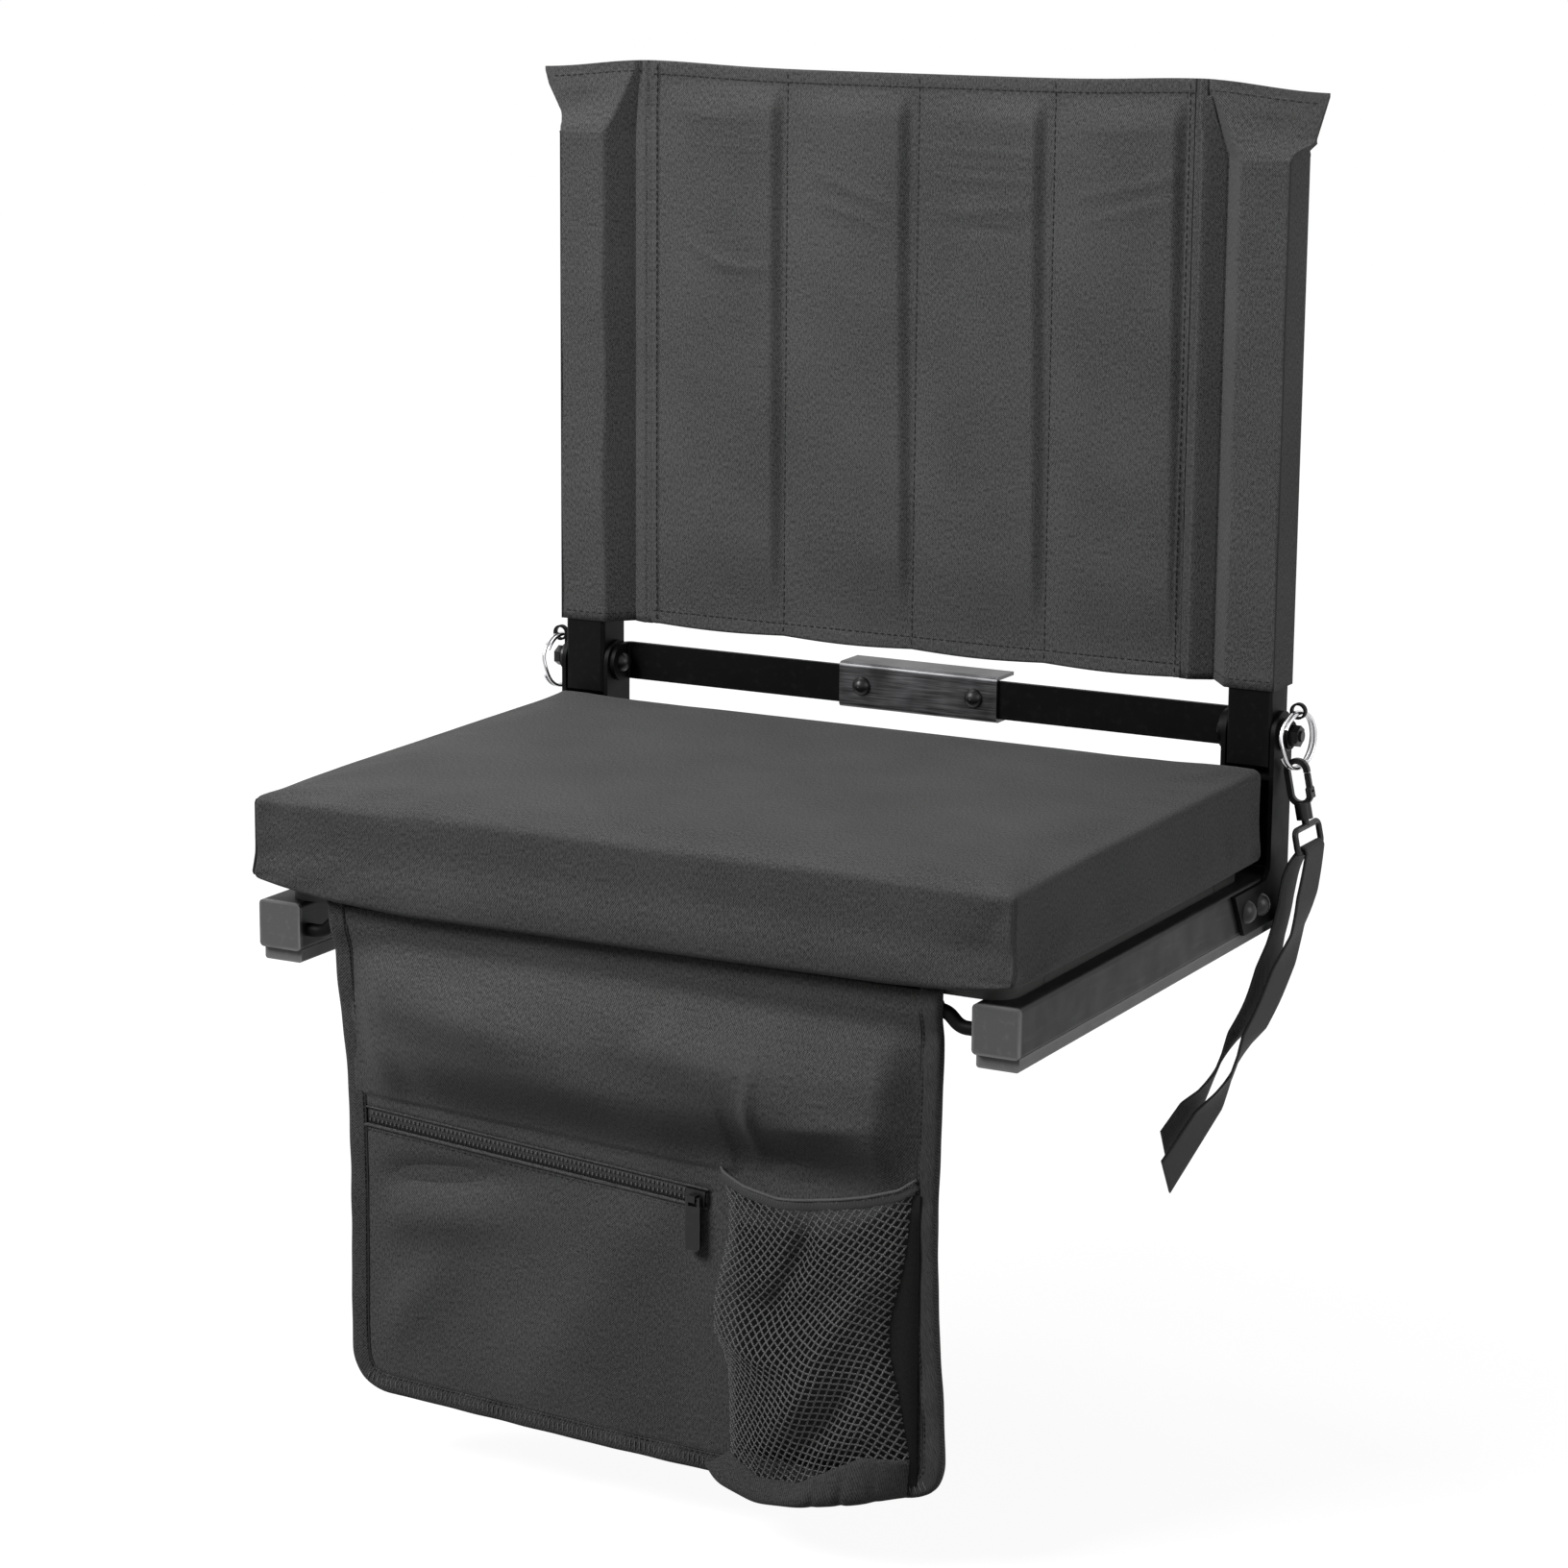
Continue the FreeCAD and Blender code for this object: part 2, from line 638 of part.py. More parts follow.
def rail_fasteners():
    """The bolts through each rail and bracket leg, heads outside, nuts inside."""
    bolts, nuts = [], []
    bore = S.rail_bolt / 2 + S.shaft_fit
    flats = S.rail_bolt * 5 / 3
    reach = half_bracket * 2 + S.rail_nut + S.bolt_tail
    for side, sign in SIDES.items():
        for number, (back, height) in enumerate(rail_bolt_places):
            head_face = sign * (rail_middle + half_bracket)
            heading = 180 if sign > 0 else 0
            place = (head_face, back, height)
            name = f"{side}_rail_bolt{number}"
            bolts.append(dome_bolt(name, S.rail_bolt, S.rail_bolt_head, reach, place, heading))
            inner = sign * (rail_middle - half_bracket)
            start = inner if sign < 0 else inner - S.rail_nut
            name = f"{side}_rail_nut{number}"
            nuts.append(hex_nut(name, "x", (start, back, height), bore, flats, S.rail_nut))
    keep("rail_bolts", group("rail_bolt_set", bolts))
    keep("rail_nuts", group("rail_nut_set", nuts))


def rear_stretcher():
    """The square tube welded between the rails."""
    half_side = S.stretcher_side / 2
    low, high = rail_centre - half_side, rail_centre + half_side
    front, back = S.stretcher_back - S.stretcher_side, S.stretcher_back
    wall = S.tube_wall
    x = (-rail_inside, rail_inside)
    tube = block("stretcher_block", x, (front, back), (low, high))
    bore = block("stretcher_bore", x, (front + wall, back - wall), (low + wall, high - wall))
    keep("rear_stretcher", cut("stretcher", tube, bore))


def bag_rod():
    """The bag's rod, joggled up at both ends with bends of an eighth turn."""
    body = new_body("bag_rod_body")
    bend = S.bag_rod_bend
    eighth = math.sqrt(0.5)
    climb = S.bag_rod_lift - bend * (2 - 2 * eighth)
    knee = rail_inside - S.bag_rod_lead
    lower_out = knee - bend * eighth
    lower_up = S.bag_rod_end + bend * (1 - eighth)
    upper_out = lower_out - climb
    upper_in = upper_out - bend * eighth
    route = [
        (-rail_inside, S.bag_rod_end),
        (-knee, S.bag_rod_end),
        (-lower_out, lower_up, bend, 1),
        (-upper_out, lower_up + climb),
        (-upper_in, rod_height, bend, -1),
        (upper_in, rod_height),
        (upper_out, lower_up + climb, bend, -1),
        (lower_out, lower_up),
        (knee, S.bag_rod_end, bend, 1),
        (rail_inside, S.bag_rod_end),
    ]
    path = outline(body, "XZ_Plane", "bag_rod_route", route, -S.bag_rod_back, closed=False)
    end = [(S.bag_rod_back, S.bag_rod_end)]
    section = circles(body, "YZ_Plane", "bag_rod_section", end, S.bag_rod / 2, -rail_inside)
    pipe = body.newObject("PartDesign::AdditivePipe", "bag_rod_pipe")
    pipe.Profile = section
    pipe.Spine = path
    keep("bag_rod", body)


def seat_board():
    """The board on the rails, with four screws sunk in it and run into the rails."""
    board = new_body("board")
    half_board = rail_inside + S.board_overlap
    rear = upright_front - S.board_rear_gap
    limits = (-half_board, half_board, S.board_front, rear)
    plan = rounded_outline(board, "XY_Plane", "board_plan", limits, S.board_corner, rail_over)
    pad(board, plan, S.board_thickness)
    rows = [S.board_front + S.board_screw_inset, rear - S.board_screw_inset]
    places = [(sign * rail_middle, row) for sign in SIDES.values() for row in rows]
    clear = S.screw_diameter / 2 + S.shaft_fit
    drill(board, "XY_Plane", "board_holes", places, clear, S.rail_length)
    board_over = rail_over + S.board_thickness
    counter = S.screw_head / 2 + S.shaft_fit
    head_height = S.board_thickness / 3
    pocket(board, circles(board, "XY_Plane", "board_sinks", places, counter, board_over), head_height)
    keep("seat_board", board)

    for side in SIDES:
        rail = nodes[side + "_seat_rail"]
        above = rail_over + S.tube_wall
        holes = circles(rail, "XY_Plane", side + "_screw_holes", [(0, row) for row in rows], clear, above)
        pocket(rail, holes, S.tube_wall * 4)

    screws = []
    seat = board_over - head_height
    for number, (u, v) in enumerate(places):
        head_round = S.screw_head / 2
        head = rod(f"screw_head{number}", "z", (u, v, seat), head_round, head_height - S.rest_gap)
        tip = (u, v, seat - S.screw_reach)
        shank = rod(f"screw_shank{number}", "z", tip, S.screw_diameter / 2, S.screw_reach)
        screws.append(fuse(f"screw{number}", head, shank))
    keep("board_screws", group("board_screw_set", screws))


# Hinge and brace


def pivot_fasteners():
    """The two hinge bolts, heads on the inner sides, with their washers and nuts."""
    washers, nuts = [], []
    bore = S.pivot_bolt / 2 + S.shaft_fit
    reach = tab_face + lug_face + S.pivot_nut + S.bolt_tail
    for side, sign in SIDES.items():
        head_face = sign * (rail_middle - tab_face)
        place = (head_face, pivot_back, S.pivot_height)
        heading = 0 if sign > 0 else 180
        bolt = dome_bolt(side + "_hinge_bolt", S.pivot_bolt, S.pivot_head, reach, place, heading)
        keep(side + "_pivot_bolt", bolt)
        cheek = sign * (rail_middle + half_bracket)
        start = cheek if sign > 0 else cheek - S.pivot_washer
        place = (start, pivot_back, S.pivot_height)
        disc = rod(side + "_washer_disc", "x", place, S.pivot_washer_round / 2, S.pivot_washer)
        hole = rod(side + "_washer_hole", "x", place, bore, S.pivot_washer)
        washers.append(cut(side + "_washer", disc, hole))
        outer = sign * (rail_middle + lug_face)
        start = outer if sign > 0 else outer - S.pivot_nut
        place = (start, pivot_back, S.pivot_height)
        nuts.append(hex_nut(side + "_hinge_nut", "x", place, bore, S.pivot_bolt * 5 / 3, S.pivot_nut))
    keep("pivot_washers", group("pivot_washer_set", washers))
    keep("pivot_nuts", group("pivot_nut_set", nuts))


def brace():
    """Two bent flat bars from the hinges, joined in a channel at the middle."""
    low = S.pivot_height - S.brace_height / 2
    front, back = S.brace_front, S.brace_front + S.brace_bar
    half_height = S.brace_height / 2
    half_pitch = S.brace_bolt_pitch / 2
    clear = S.brace_bolt / 2 + S.shaft_fit
    for side, sign in SIDES.items():
        outer = rail_middle - half_bracket
        inner = outer - S.brace_bar
        bend_in, bend_out = S.brace_bend, S.brace_bend + S.brace_bar
        tip = pivot_back - half_height
        angle = new_body(side + "_bar_angle")
        plan = [
            (S.brace_end_gap, front),
            (inner - bend_in, front),
            (inner, front - bend_in, bend_in, -1),
            (inner, tip),
            (outer, tip),
            (outer, back - bend_out),
            (outer - bend_out, back, bend_out, 1),
            (S.brace_end_gap, back),
        ]
        turn = sign
        points = [(turn * p[0], p[1]) + ((p[2], p[3] * turn) if len(p) > 2 else ()) for p in plan]
        sketch = outline(angle, "XY_Plane", side + "_bar_plan", points, low)
        pad(angle, sketch, S.brace_height)
        profile = new_body(side + "_bar_profile")
        middle = S.pivot_height
        edge = [
            (pivot_back, middle - half_height),
            (back, middle - half_height),
            (back, middle + half_height),
            (pivot_back, middle + half_height),
            (tip, middle, half_height, 1),
        ]
        edge[0] = edge[0] + (half_height, 1)
        pad(profile, outline(profile, "YZ_Plane", side + "_bar_edge", edge), S.frame_width, both_ways=True)
        shaped = common(side + "_bar", angle, profile)
        pivot_clear = S.pivot_bolt / 2 + S.shaft_fit
        hole_start = sign * rail_middle - S.tube_side * 2
        pivot_hole = rod(
            side + "_bar_pivot", "x", (hole_start, pivot_back, S.pivot_height), pivot_clear, S.tube_side * 4
        )
        bolt_start = (sign * half_pitch, front - S.tube_side, S.pivot_height)
        bolt_hole = rod(side + "_bar_bolt", "y", bolt_start, clear, S.tube_side * 2)
        keep("brace_bar_" + side, cut(side + "_brace_bar", shaped, pivot_hole, bolt_hole))

    body = new_body("channel")
    inside = half_height + S.channel_fit
    outside = inside + S.channel_wall
    face = front - S.channel_wall
    rear = face + S.channel_depth
    bend = S.channel_corner
    middle = S.pivot_height
    section = [
        (rear, middle - outside),
        (rear, middle - inside),
        (front, middle - inside),
        (front, middle + inside),
        (rear, middle + inside),
        (rear, middle + outside),
        (face + bend, middle + outside),
        (face, middle + outside - bend, bend, 1),
        (face, middle - outside + bend),
        (face + bend, middle - outside, bend, 1),
    ]
    sketch = outline(body, "YZ_Plane", "channel_section", section)
    pad(body, sketch, S.channel_length, both_ways=True)
    places = [(sign * half_pitch, S.pivot_height) for sign in SIDES.values()]
    drill(body, "XZ_Plane", "channel_holes", places, clear, S.rail_length * 3)
    keep("brace_channel", body)

    bolts, nuts = [], []
    for number, (across, height) in enumerate(places):
        reach = S.channel_wall + S.brace_bar + S.rail_nut + S.bolt_tail
        place = (across, face, height)
        name = f"brace_bolt{number}"
        bolts.append(dome_bolt(name, S.brace_bolt, S.brace_bolt_head, reach, place, 90))
        nut_place = (across, back, height)
        nuts.append(hex_nut(f"brace_nut{number}", "y", nut_place, clear, S.brace_bolt * 5 / 3, S.rail_nut))
    keep("brace_bolts", group("brace_bolt_set", bolts))
    keep("brace_nuts", group("brace_nut_set", nuts))


# Back


def uprights():
    """The back's two tubes, each with a heel that rounds in front and stops behind."""
    caps = []
    for side, sign in SIDES.items():
        body = new_body(side + "_tube")
        low, high = heel_height, S.upright_top - S.cap_face
        limits = (-half_tube, half_tube, upright_front, S.rail_length)
        wall = S.tube_wall
        bore = (-half_bore, half_bore, upright_front + wall, S.rail_length - wall)
        outer = rounded_outline(body, "XY_Plane", side + "_tube_outer", limits, S.tube_corner, low)
        pad(body, outer, high - low)
        inner = rounded_outline(body, "XY_Plane", side + "_tube_inner", bore, bore_corner, high)
        pocket(body, inner, high - low)
        past = S.plate
        rise = S.pivot_height - hypot_leg(S.heel_drop, half_tube)
        heel = [
            (pivot_back, heel_height),
            (upright_front, rise, S.heel_drop, -1),
            (upright_front - past, rise),
            (upright_front - past, heel_height - past),
            (pivot_back, heel_height - past),
        ]
        pocket(body, outline(body, "YZ_Plane", side + "_heel", heel), S.tube_side * 2, both_ways=True)
        hole = S.pivot_bolt / 2 + S.shaft_fit
        place = [(pivot_back, S.pivot_height)]
        drill(body, "YZ_Plane", side + "_tube_pivot", place, hole, S.tube_side * 2)
        bind(body, "Placement.Base.x", sign * rail_middle)
        keep(side + "_upright", body)

        cap = new_body(side + "_top_plug")
        face = rounded_outline(cap, "XY_Plane", side + "_top_face", limits, S.tube_corner, high)
        pad(cap, face, S.cap_face)
        shrink = S.plug_fit
        plug = (-half_bore + shrink, half_bore - shrink, bore[2] + shrink, bore[3] - shrink)
        core = rounded_outline(cap, "XY_Plane", side + "_top_core", plug, bore_corner, high - S.cap_plug)
        pad(cap, core, S.cap_plug)
        bind(cap, "Placement.Base.x", sign * rail_middle)
        caps.append(cap)
    keep("upright_caps", group("upright_cap_set", caps))


def formed(label, shape):
    """A sewn or bent piece whose form comes from the sheet's values."""
    thing = doc.addObject("Part::Feature", label + "_form")
    thing.Shape = shape
    return keep(label, thing)


def flat_wire(points, height):
    """A closed outline of straight lines at one height."""
    corners = [Vector(x, y, height) for x, y in points]
    return Part.makePolygon(corners + corners[:1])


def sleeve_section(grow, height, sign):
    """A sleeve's outline: square round the upright, drawn in to the seam."""
    half = half_tube.value + S.sleeve_fit.value + grow
    middle = rail_middle.value
    centre = pivot_back.value
    seam = S.seam_half.value + S.sleeve_wall.value - grow
    thin = S.ear_cloth.value / 2 - S.sleeve_wall.value + grow
    points = [
        (seam, centre - thin),
        (middle - half, centre - half),
        (middle + half, centre - half),
        (middle + half, centre + half),
        (middle - half, centre + half),
        (seam, centre + thin),
    ]
    return flat_wire([(sign * x, y) for x, y in points], height)


def ear_section(height, sign):
    """The flat top edge of a sleeve, spread past the upright."""
    centre = pivot_back.value
    thin = S.ear_cloth.value / 2
    low, high = S.seam_half.value, S.ear_reach.value
    shoulder = low + (high - low) * 0.45
    points = [
        (low, centre - thin),
        (shoulder, centre - thin),
        (high, centre - thin),
        (high, centre + thin),
        (shoulder, centre + thin),
        (low, centre + thin),
    ]
    return flat_wire([(sign * x, y) for x, y in points], height)


def sleeves():
    """The sling's sleeves, open below and sewn flat into ears above the uprights."""
    wall = S.sleeve_wall.value
    low = S.sleeve_bottom.value
    shoulder = S.upright_top.value + S.ear_shoulder.value
    for side, sign in SIDES.items():
        outer = Part.makeLoft([sleeve_section(wall, z, sign) for z in (low, shoulder)], True, True)
        ends = [sleeve_section(wall, shoulder, sign), ear_section(S.sling_top.value, sign)]
        ear = Part.makeLoft(ends, True, True)
        tops = (low, S.upright_top.value + S.rest_gap.value)
        hollow = Part.makeLoft([sleeve_section(0, z, sign) for z in tops], True, True)
        formed(side + "_sleeve", outer.fuse(ear).removeSplitter().cut(hollow))


def channel_section_wire(left, right, front, rear, thin, height):
    """A padded channel's outline: two shallow arcs between thin sewn edges."""
    centre = pivot_back.value
    middle = (left + right) / 2
    corners = [
        Vector(left, centre - thin, height),
        Vector(right, centre - thin, height),
        Vector(right, centre + thin, height),
        Vector(left, centre + thin, height),
    ]
    front_arc = Part.Arc(corners[0], Vector(middle, centre - thin - front, height), corners[1])
    rear_arc = Part.Arc(corners[2], Vector(middle, centre + thin + rear, height), corners[3])
    edges = [
        front_arc.toShape(),
        Part.makeLine(corners[1], corners[2]),
        rear_arc.toShape(),
        Part.makeLine(corners[3], corners[0]),
    ]
    return Part.Wire(edges)


def padded_channel(left, right, swell, low, high):
    """A channel that swells to the front and rear and thins towards its flat hems."""
    thin = swell * S.ear_cloth.value / 2
    taper = (high - low) * 0.1
    levels = [(low, 0.25), (low + taper, 1.0), (high - taper, 1.0), (high, 0.25)]
    wires = []
    for height, share in levels:
        front = S.channel_front_swell.value * share * swell
        rear = S.channel_rear_swell.value * share * swell
        wires.append(channel_section_wire(left, right, front, rear, thin, height))
    return Part.makeLoft(wires, True, True)


def back_panel():
    """The sling's panel of four sewn channels, each with its own pad inside."""
    count = 4
    pitch = 2 * S.seam_half.value / count
    low, high = S.sleeve_bottom.value, S.sling_top.value
    hem, margin = S.hem_height.value, S.pad_margin.value
    thin = S.ear_cloth.value / 2
    centre = pivot_back.value
    cloth, fit = S.cover_cloth.value, S.pad_fit.value
    full = S.channel_front_swell.value + thin
    bed_share, pad_share = 1 - cloth / full, 1 - (cloth + fit) / full
    cover, pads = None, []
    for number in range(count):
        left = -S.seam_half.value + number * pitch
        right = left + pitch
        if number == 0:
            left += S.rest_gap.value
        if number == count - 1:
            right -= S.rest_gap.value
        channel = padded_channel(left, right, 1, low + hem, high - hem)
        for start in (low, high - hem):
            strip = Part.makeBox(right - left, 2 * thin, hem, Vector(left, centre - thin, start))
            channel = channel.fuse(strip)
        bed_low, bed_high = low + hem + margin, high - hem - margin
        bed = padded_channel(left + margin, right - margin, bed_share, bed_low, bed_high)
        inner = margin + fit
        core = padded_channel(left + inner, right - inner, pad_share, bed_low + fit, bed_high - fit)
        channel = channel.cut(bed)
        cover = channel if cover is None else cover.fuse(channel)
        pads.append(core)
    formed("back_panel", cover.removeSplitter())
    formed("back_pads", Part.makeCompound(pads))


# Cushion


def cushion_level(inset, draw, height):
    """A cushion's outline at one height, its four sides drawn in to shallow arcs."""
    half = S.cushion_width.value / 2 - inset
    front, rear = S.cushion_front.value + inset, S.cushion_rear.value - inset
    corner = S.cushion_corner.value
    middle = (front + rear) / 2
    bow = corner * (1 - math.sqrt(0.5))
    stops = [
        (Vector(-half + corner, front, height), Vector(0, front + draw, height)),
        (Vector(half - corner, front, height), Vector(half - bow, front + bow, height)),
        (Vector(half, front + corner, height), Vector(half - draw, middle, height)),
        (Vector(half, rear - corner, height), Vector(half - bow, rear - bow, height)),
        (Vector(half - corner, rear, height), Vector(0, rear - draw, height)),
        (Vector(-half + corner, rear, height), Vector(-half + bow, rear - bow, height)),
        (Vector(-half, rear - corner, height), Vector(-half + draw, middle, height)),
        (Vector(-half, front + corner, height), Vector(-half + bow, front + bow, height)),
    ]
    edges = []
    for index, (start, through) in enumerate(stops):
        end = stops[(index + 1) % len(stops)][0]
        edges.append(Part.Arc(start, through, end).toShape())
    return Part.Wire(edges)


def cushion_form(skin):
    """The boxed cushion's form, a skin's thickness inside its outer surface."""
    base = cushion_under.value + skin
    edge = cushion_under.value + S.cushion_edge.value
    tuck, draw, crown = S.cushion_tuck.value, S.cushion_draw.value, S.cushion_crown.value
    height = edge - base
    levels = [
        (tuck + skin, draw, base),
        (skin, draw, base + height * 0.25),
        (skin, draw * 0.6, base + height * 0.8),
        (skin + 2.0, draw * 0.5, edge - skin),
        (skin + 16.0, draw * 0.5, edge + crown * 0.6 - skin),
        (skin + 80.0, draw * 0.5, edge + crown - skin),
    ]
    return Part.makeLoft([cushion_level(*level) for level in levels], True, True)


def cushion():
    """The sewn cover and the foam inside it."""
    skin = S.cushion_cloth.value
    cover = cushion_form(0).cut(cushion_form(skin))
    formed("seat_cover", cover)
    formed("seat_foam", cushion_form(skin + S.rest_gap.value))


# Bag


def bag_face(body, name, bottom, top, back, thickness):
    """A bag panel: straight above, round at its lower corners."""
    half, corner = S.bag_half, S.bag_corner
    points = [
        (-half, top),
        (-half, bottom + corner),
        (-half + corner, bottom, corner, 1),
        (half - corner, bottom),
        (half, bottom + corner, corner, 1),
        (half, top),
    ]
    pad(body, outline(body, "XZ_Plane", name, points, -back), thickness)


def zip_place(x, z):
    """Across and height of a place on the sloping zipper, from its left end along and above it."""
    along, above = as_size(x), as_size(z)
    cosine, sine = cos_of(S.zip_fall), sin_of(S.zip_fall)
    across = S.zip_left + along * cosine + above * sine
    return across, S.zip_height - along * sine + above * cosine


def along_zip(name, x, y, z):
    """A block in the zipper's own sloping frame, from its left end."""
    thing = block(name, x, y, z)
    across, height = zip_place(x[0], z[0])
    thing.Placement = Placement(Vector(), Rotation(Vector(0, 1, 0), S.zip_fall.value))
    bind(thing, "Placement.Base.x", across)
    bind(thing, "Placement.Base.y", y[0])
    bind(thing, "Placement.Base.z", height)
    return thing


def bag():
    """The pocket bag: back panel on its rod sleeve, front panel, binding and pockets."""
    sleeve_bore = S.bag_rod / 2 + S.bag_sleeve_fit
    sleeve_round = sleeve_bore + S.bag_cloth
    back = S.bag_rod_back + S.bag_cloth / 2
    panel = new_body("bag_back")
    bag_face(panel, "bag_back_face", S.bag_bottom, rod_height - sleeve_bore, back, S.bag_cloth)
    start = (-S.bag_sleeve_half, S.bag_rod_back, rod_height)
    long = S.bag_sleeve_half * 2
    shell = rod("bag_sleeve_shell", "x", start, sleeve_round, long)
    whole = fuse("bag_back_whole", panel, shell)
    bore_start = (-S.frame_width, S.bag_rod_back, rod_height)
    bore = rod("bag_sleeve_bore", "x", bore_start, sleeve_bore, S.frame_width * 2)
    keep("bag_back_panel", cut("bag_back_bored", whole, bore))

    front = new_body("bag_front")
    top = rod_height - sleeve_round - S.bag_layer_gap
    bag_face(front, "bag_front_face", S.bag_bottom, top, front_panel_back, S.bag_cloth)
    run = S.zip_right - S.zip_left
    half_slot = S.zip_slot / 2
    deep = S.bag_cloth * 2
    slot = along_zip(
        "zip_slot", (0, run), (front_panel_face - deep, front_panel_back + deep), (-half_slot, half_slot)
    )
    keep("bag_front_panel", cut("bag_front_slotted", front, slot))

    width = S.binding_width
    binding = new_body("binding_front")
    half, corner = S.bag_half, S.bag_corner
    gap = S.bag_layer_gap
    out_half, out_bottom = half + gap + S.bag_cloth, S.bag_bottom - gap - S.bag_cloth
    in_half, in_bottom = out_half - width, out_bottom + width
    shape = [
        (-out_half, top),
        (-out_half, out_bottom + corner),
        (-out_half + corner, out_bottom, corner, 1),
        (out_half - corner, out_bottom),
        (out_half, out_bottom + corner, corner, 1),
        (out_half, top),
        (in_half, top),
        (in_half, in_bottom + corner),
        (in_half - corner, in_bottom, corner, -1),
        (-in_half + corner, in_bottom),
        (-in_half, in_bottom + corner, corner, -1),
        (-in_half, top),
    ]
    tape_back = back + gap + S.bag_cloth
    band = outline(binding, "XZ_Plane", "binding_shape", shape, -tape_back)
    pad(binding, band, tape_back - binding_face)
    nest = new_body("binding_nest")
    room_half, room_bottom = half + gap, S.bag_bottom - gap
    room = [
        (-room_half, top + width),
        (-room_half, room_bottom + corner),
        (-room_half + corner, room_bottom, corner, 1),
        (room_half - corner, room_bottom),
        (room_half, room_bottom + corner, corner, 1),
        (room_half, top + width),
    ]
    hollow = outline(nest, "XZ_Plane", "binding_room", room, -(back + gap))
    pad(nest, hollow, back + gap - front_panel_face + gap)
    keep("bag_binding", cut("binding_fold", binding, nest))


def zipper():
    """The zipper: a tape in the slot, the coil chain on it, the slider and its pull."""
    run = S.zip_right - S.zip_left
    edge = S.zip_edge_gap
    half_slot = S.zip_slot / 2 - edge
    half_chain = S.zip_chain / 2
    length = (edge, run - edge)
    tape_face = front_panel_back - S.zip_tape
    tape = along_zip("zip_tape_strip", length, (tape_face, front_panel_back), (-half_slot, half_slot))
    keep("zipper_tape", tape)
    chain_face = tape_face - S.zip_chain_rise
    chain = along_zip("zip_coil", length, (chain_face, tape_face), (-half_chain, half_chain))
    keep("zipper_chain", chain)

    wall = S.slider_wall
    back = chain_face - S.slider_fit
    front = back - wall
    half_slider = S.slider_width / 2
    rear_end = run - edge - S.slider_length
    x = (rear_end, rear_end + S.slider_length)
    face = along_zip("slider_face", x, (front, back), (-half_slider, half_slider))
    inside = half_chain + S.slider_fit
    flange_y = (front, tape_face - S.slider_fit)
    lower = along_zip("slider_lower_flange", x, flange_y, (-half_slider, -inside))
    upper = along_zip("slider_upper_flange", x, flange_y, (inside, half_slider))
    middle = rear_end + S.slider_length / 2
    half_post = S.slider_post / 2
    post_x = (middle - half_post, middle + half_post)
    post = along_zip("slider_post_block", post_x, (front - S.slider_post, front), (-half_post, half_post))
    pin_y = front - half_post
    across, height = zip_place(middle, 0)
    bore_start = (across - S.slider_length, pin_y, height)
    bore = rod("slider_bore", "x", bore_start, S.pull_pin / 2 + S.shaft_fit, S.slider_length * 2)
    whole = fuse("slider_whole", face, lower, upper, post)
    keep("zipper_slider", cut("slider", whole, bore))

    plate, gap = S.pull_plate, S.rest_gap
    half_plate = plate / 2
    pull_y = (pin_y - half_plate, pin_y + half_plate)
    inner = half_post + gap * 2
    outer = inner + plate
    drop = half_post * 2 + gap
    pin = rod("pull_cross_pin", "x", (across - outer, pin_y, height), S.pull_pin / 2, outer * 2)
    arm_z = (height - drop, height + half_plate)
    arms = [
        block("pull_left_arm", (across - outer, across - inner), pull_y, arm_z),
        block("pull_right_arm", (across + inner, across + outer), pull_y, arm_z),
    ]
    blade = new_body("pull_blade")
    half_width, corner = S.pull_width / 2, S.pull_width * 0.3
    low, high = height - S.pull_length, height - drop
    shape = [
        (across - half_width, high),
        (across - half_width, low + corner),
        (across - half_width + corner, low, corner, 1),
        (across + half_width - corner, low),
        (across + half_width, low + corner, corner, 1),
        (across + half_width, high),
    ]
    pad(blade, outline(blade, "XZ_Plane", "pull_shape", shape, -pull_y[1]), plate)
    keep("zipper_pull", fuse("pull_whole", blade, *arms, pin))


def pocket_arc(left, right, swell, back):
    """A half-lens outline in plan: a chord on the panel and an arc swelling forward."""
    start, end = Vector(left, back, 0), Vector(right, back, 0)
    arc = Part.Arc(start, Vector((left + right) / 2, back - swell, 0), end).toShape()
    return Part.Face(Part.Wire([arc, Part.makeLine(end, start)]))


def mesh_pocket():
    """The net pocket, open above, with its bound upper hem; both are sewn over the binding."""
    left, right = S.mesh_left.value, S.mesh_right.value
    back = (binding_face - S.bag_layer_gap).value
    swell, wall, thick = S.mesh_swell.value, S.mesh_wall.value, S.mesh_hem_wall.value
    low, high = S.mesh_bottom.value, S.mesh_top.value
    outer = pocket_arc(left, right, swell, back)
    shell = outer.extrude(Vector(0, 0, high - low))
    room = pocket_arc(left + 3 * wall, right - 3 * wall, swell - wall, back)
    room = room.extrude(Vector(0, 0, high - low))
    shell.translate(Vector(0, 0, low))
    room.translate(Vector(0, 0, low + wall))
    formed("mesh_pocket", shell.cut(room))

    rise = Vector(0, 0, S.mesh_hem_height.value)
    core = pocket_arc(left + 3 * thick, right - 3 * thick, swell - thick, back)
    hem = outer.extrude(rise).cut(core.extrude(rise))
    hem.translate(Vector(0, 0, high + S.rest_gap.value))
    formed("mesh_hem", hem)


# Rings, hook and strap


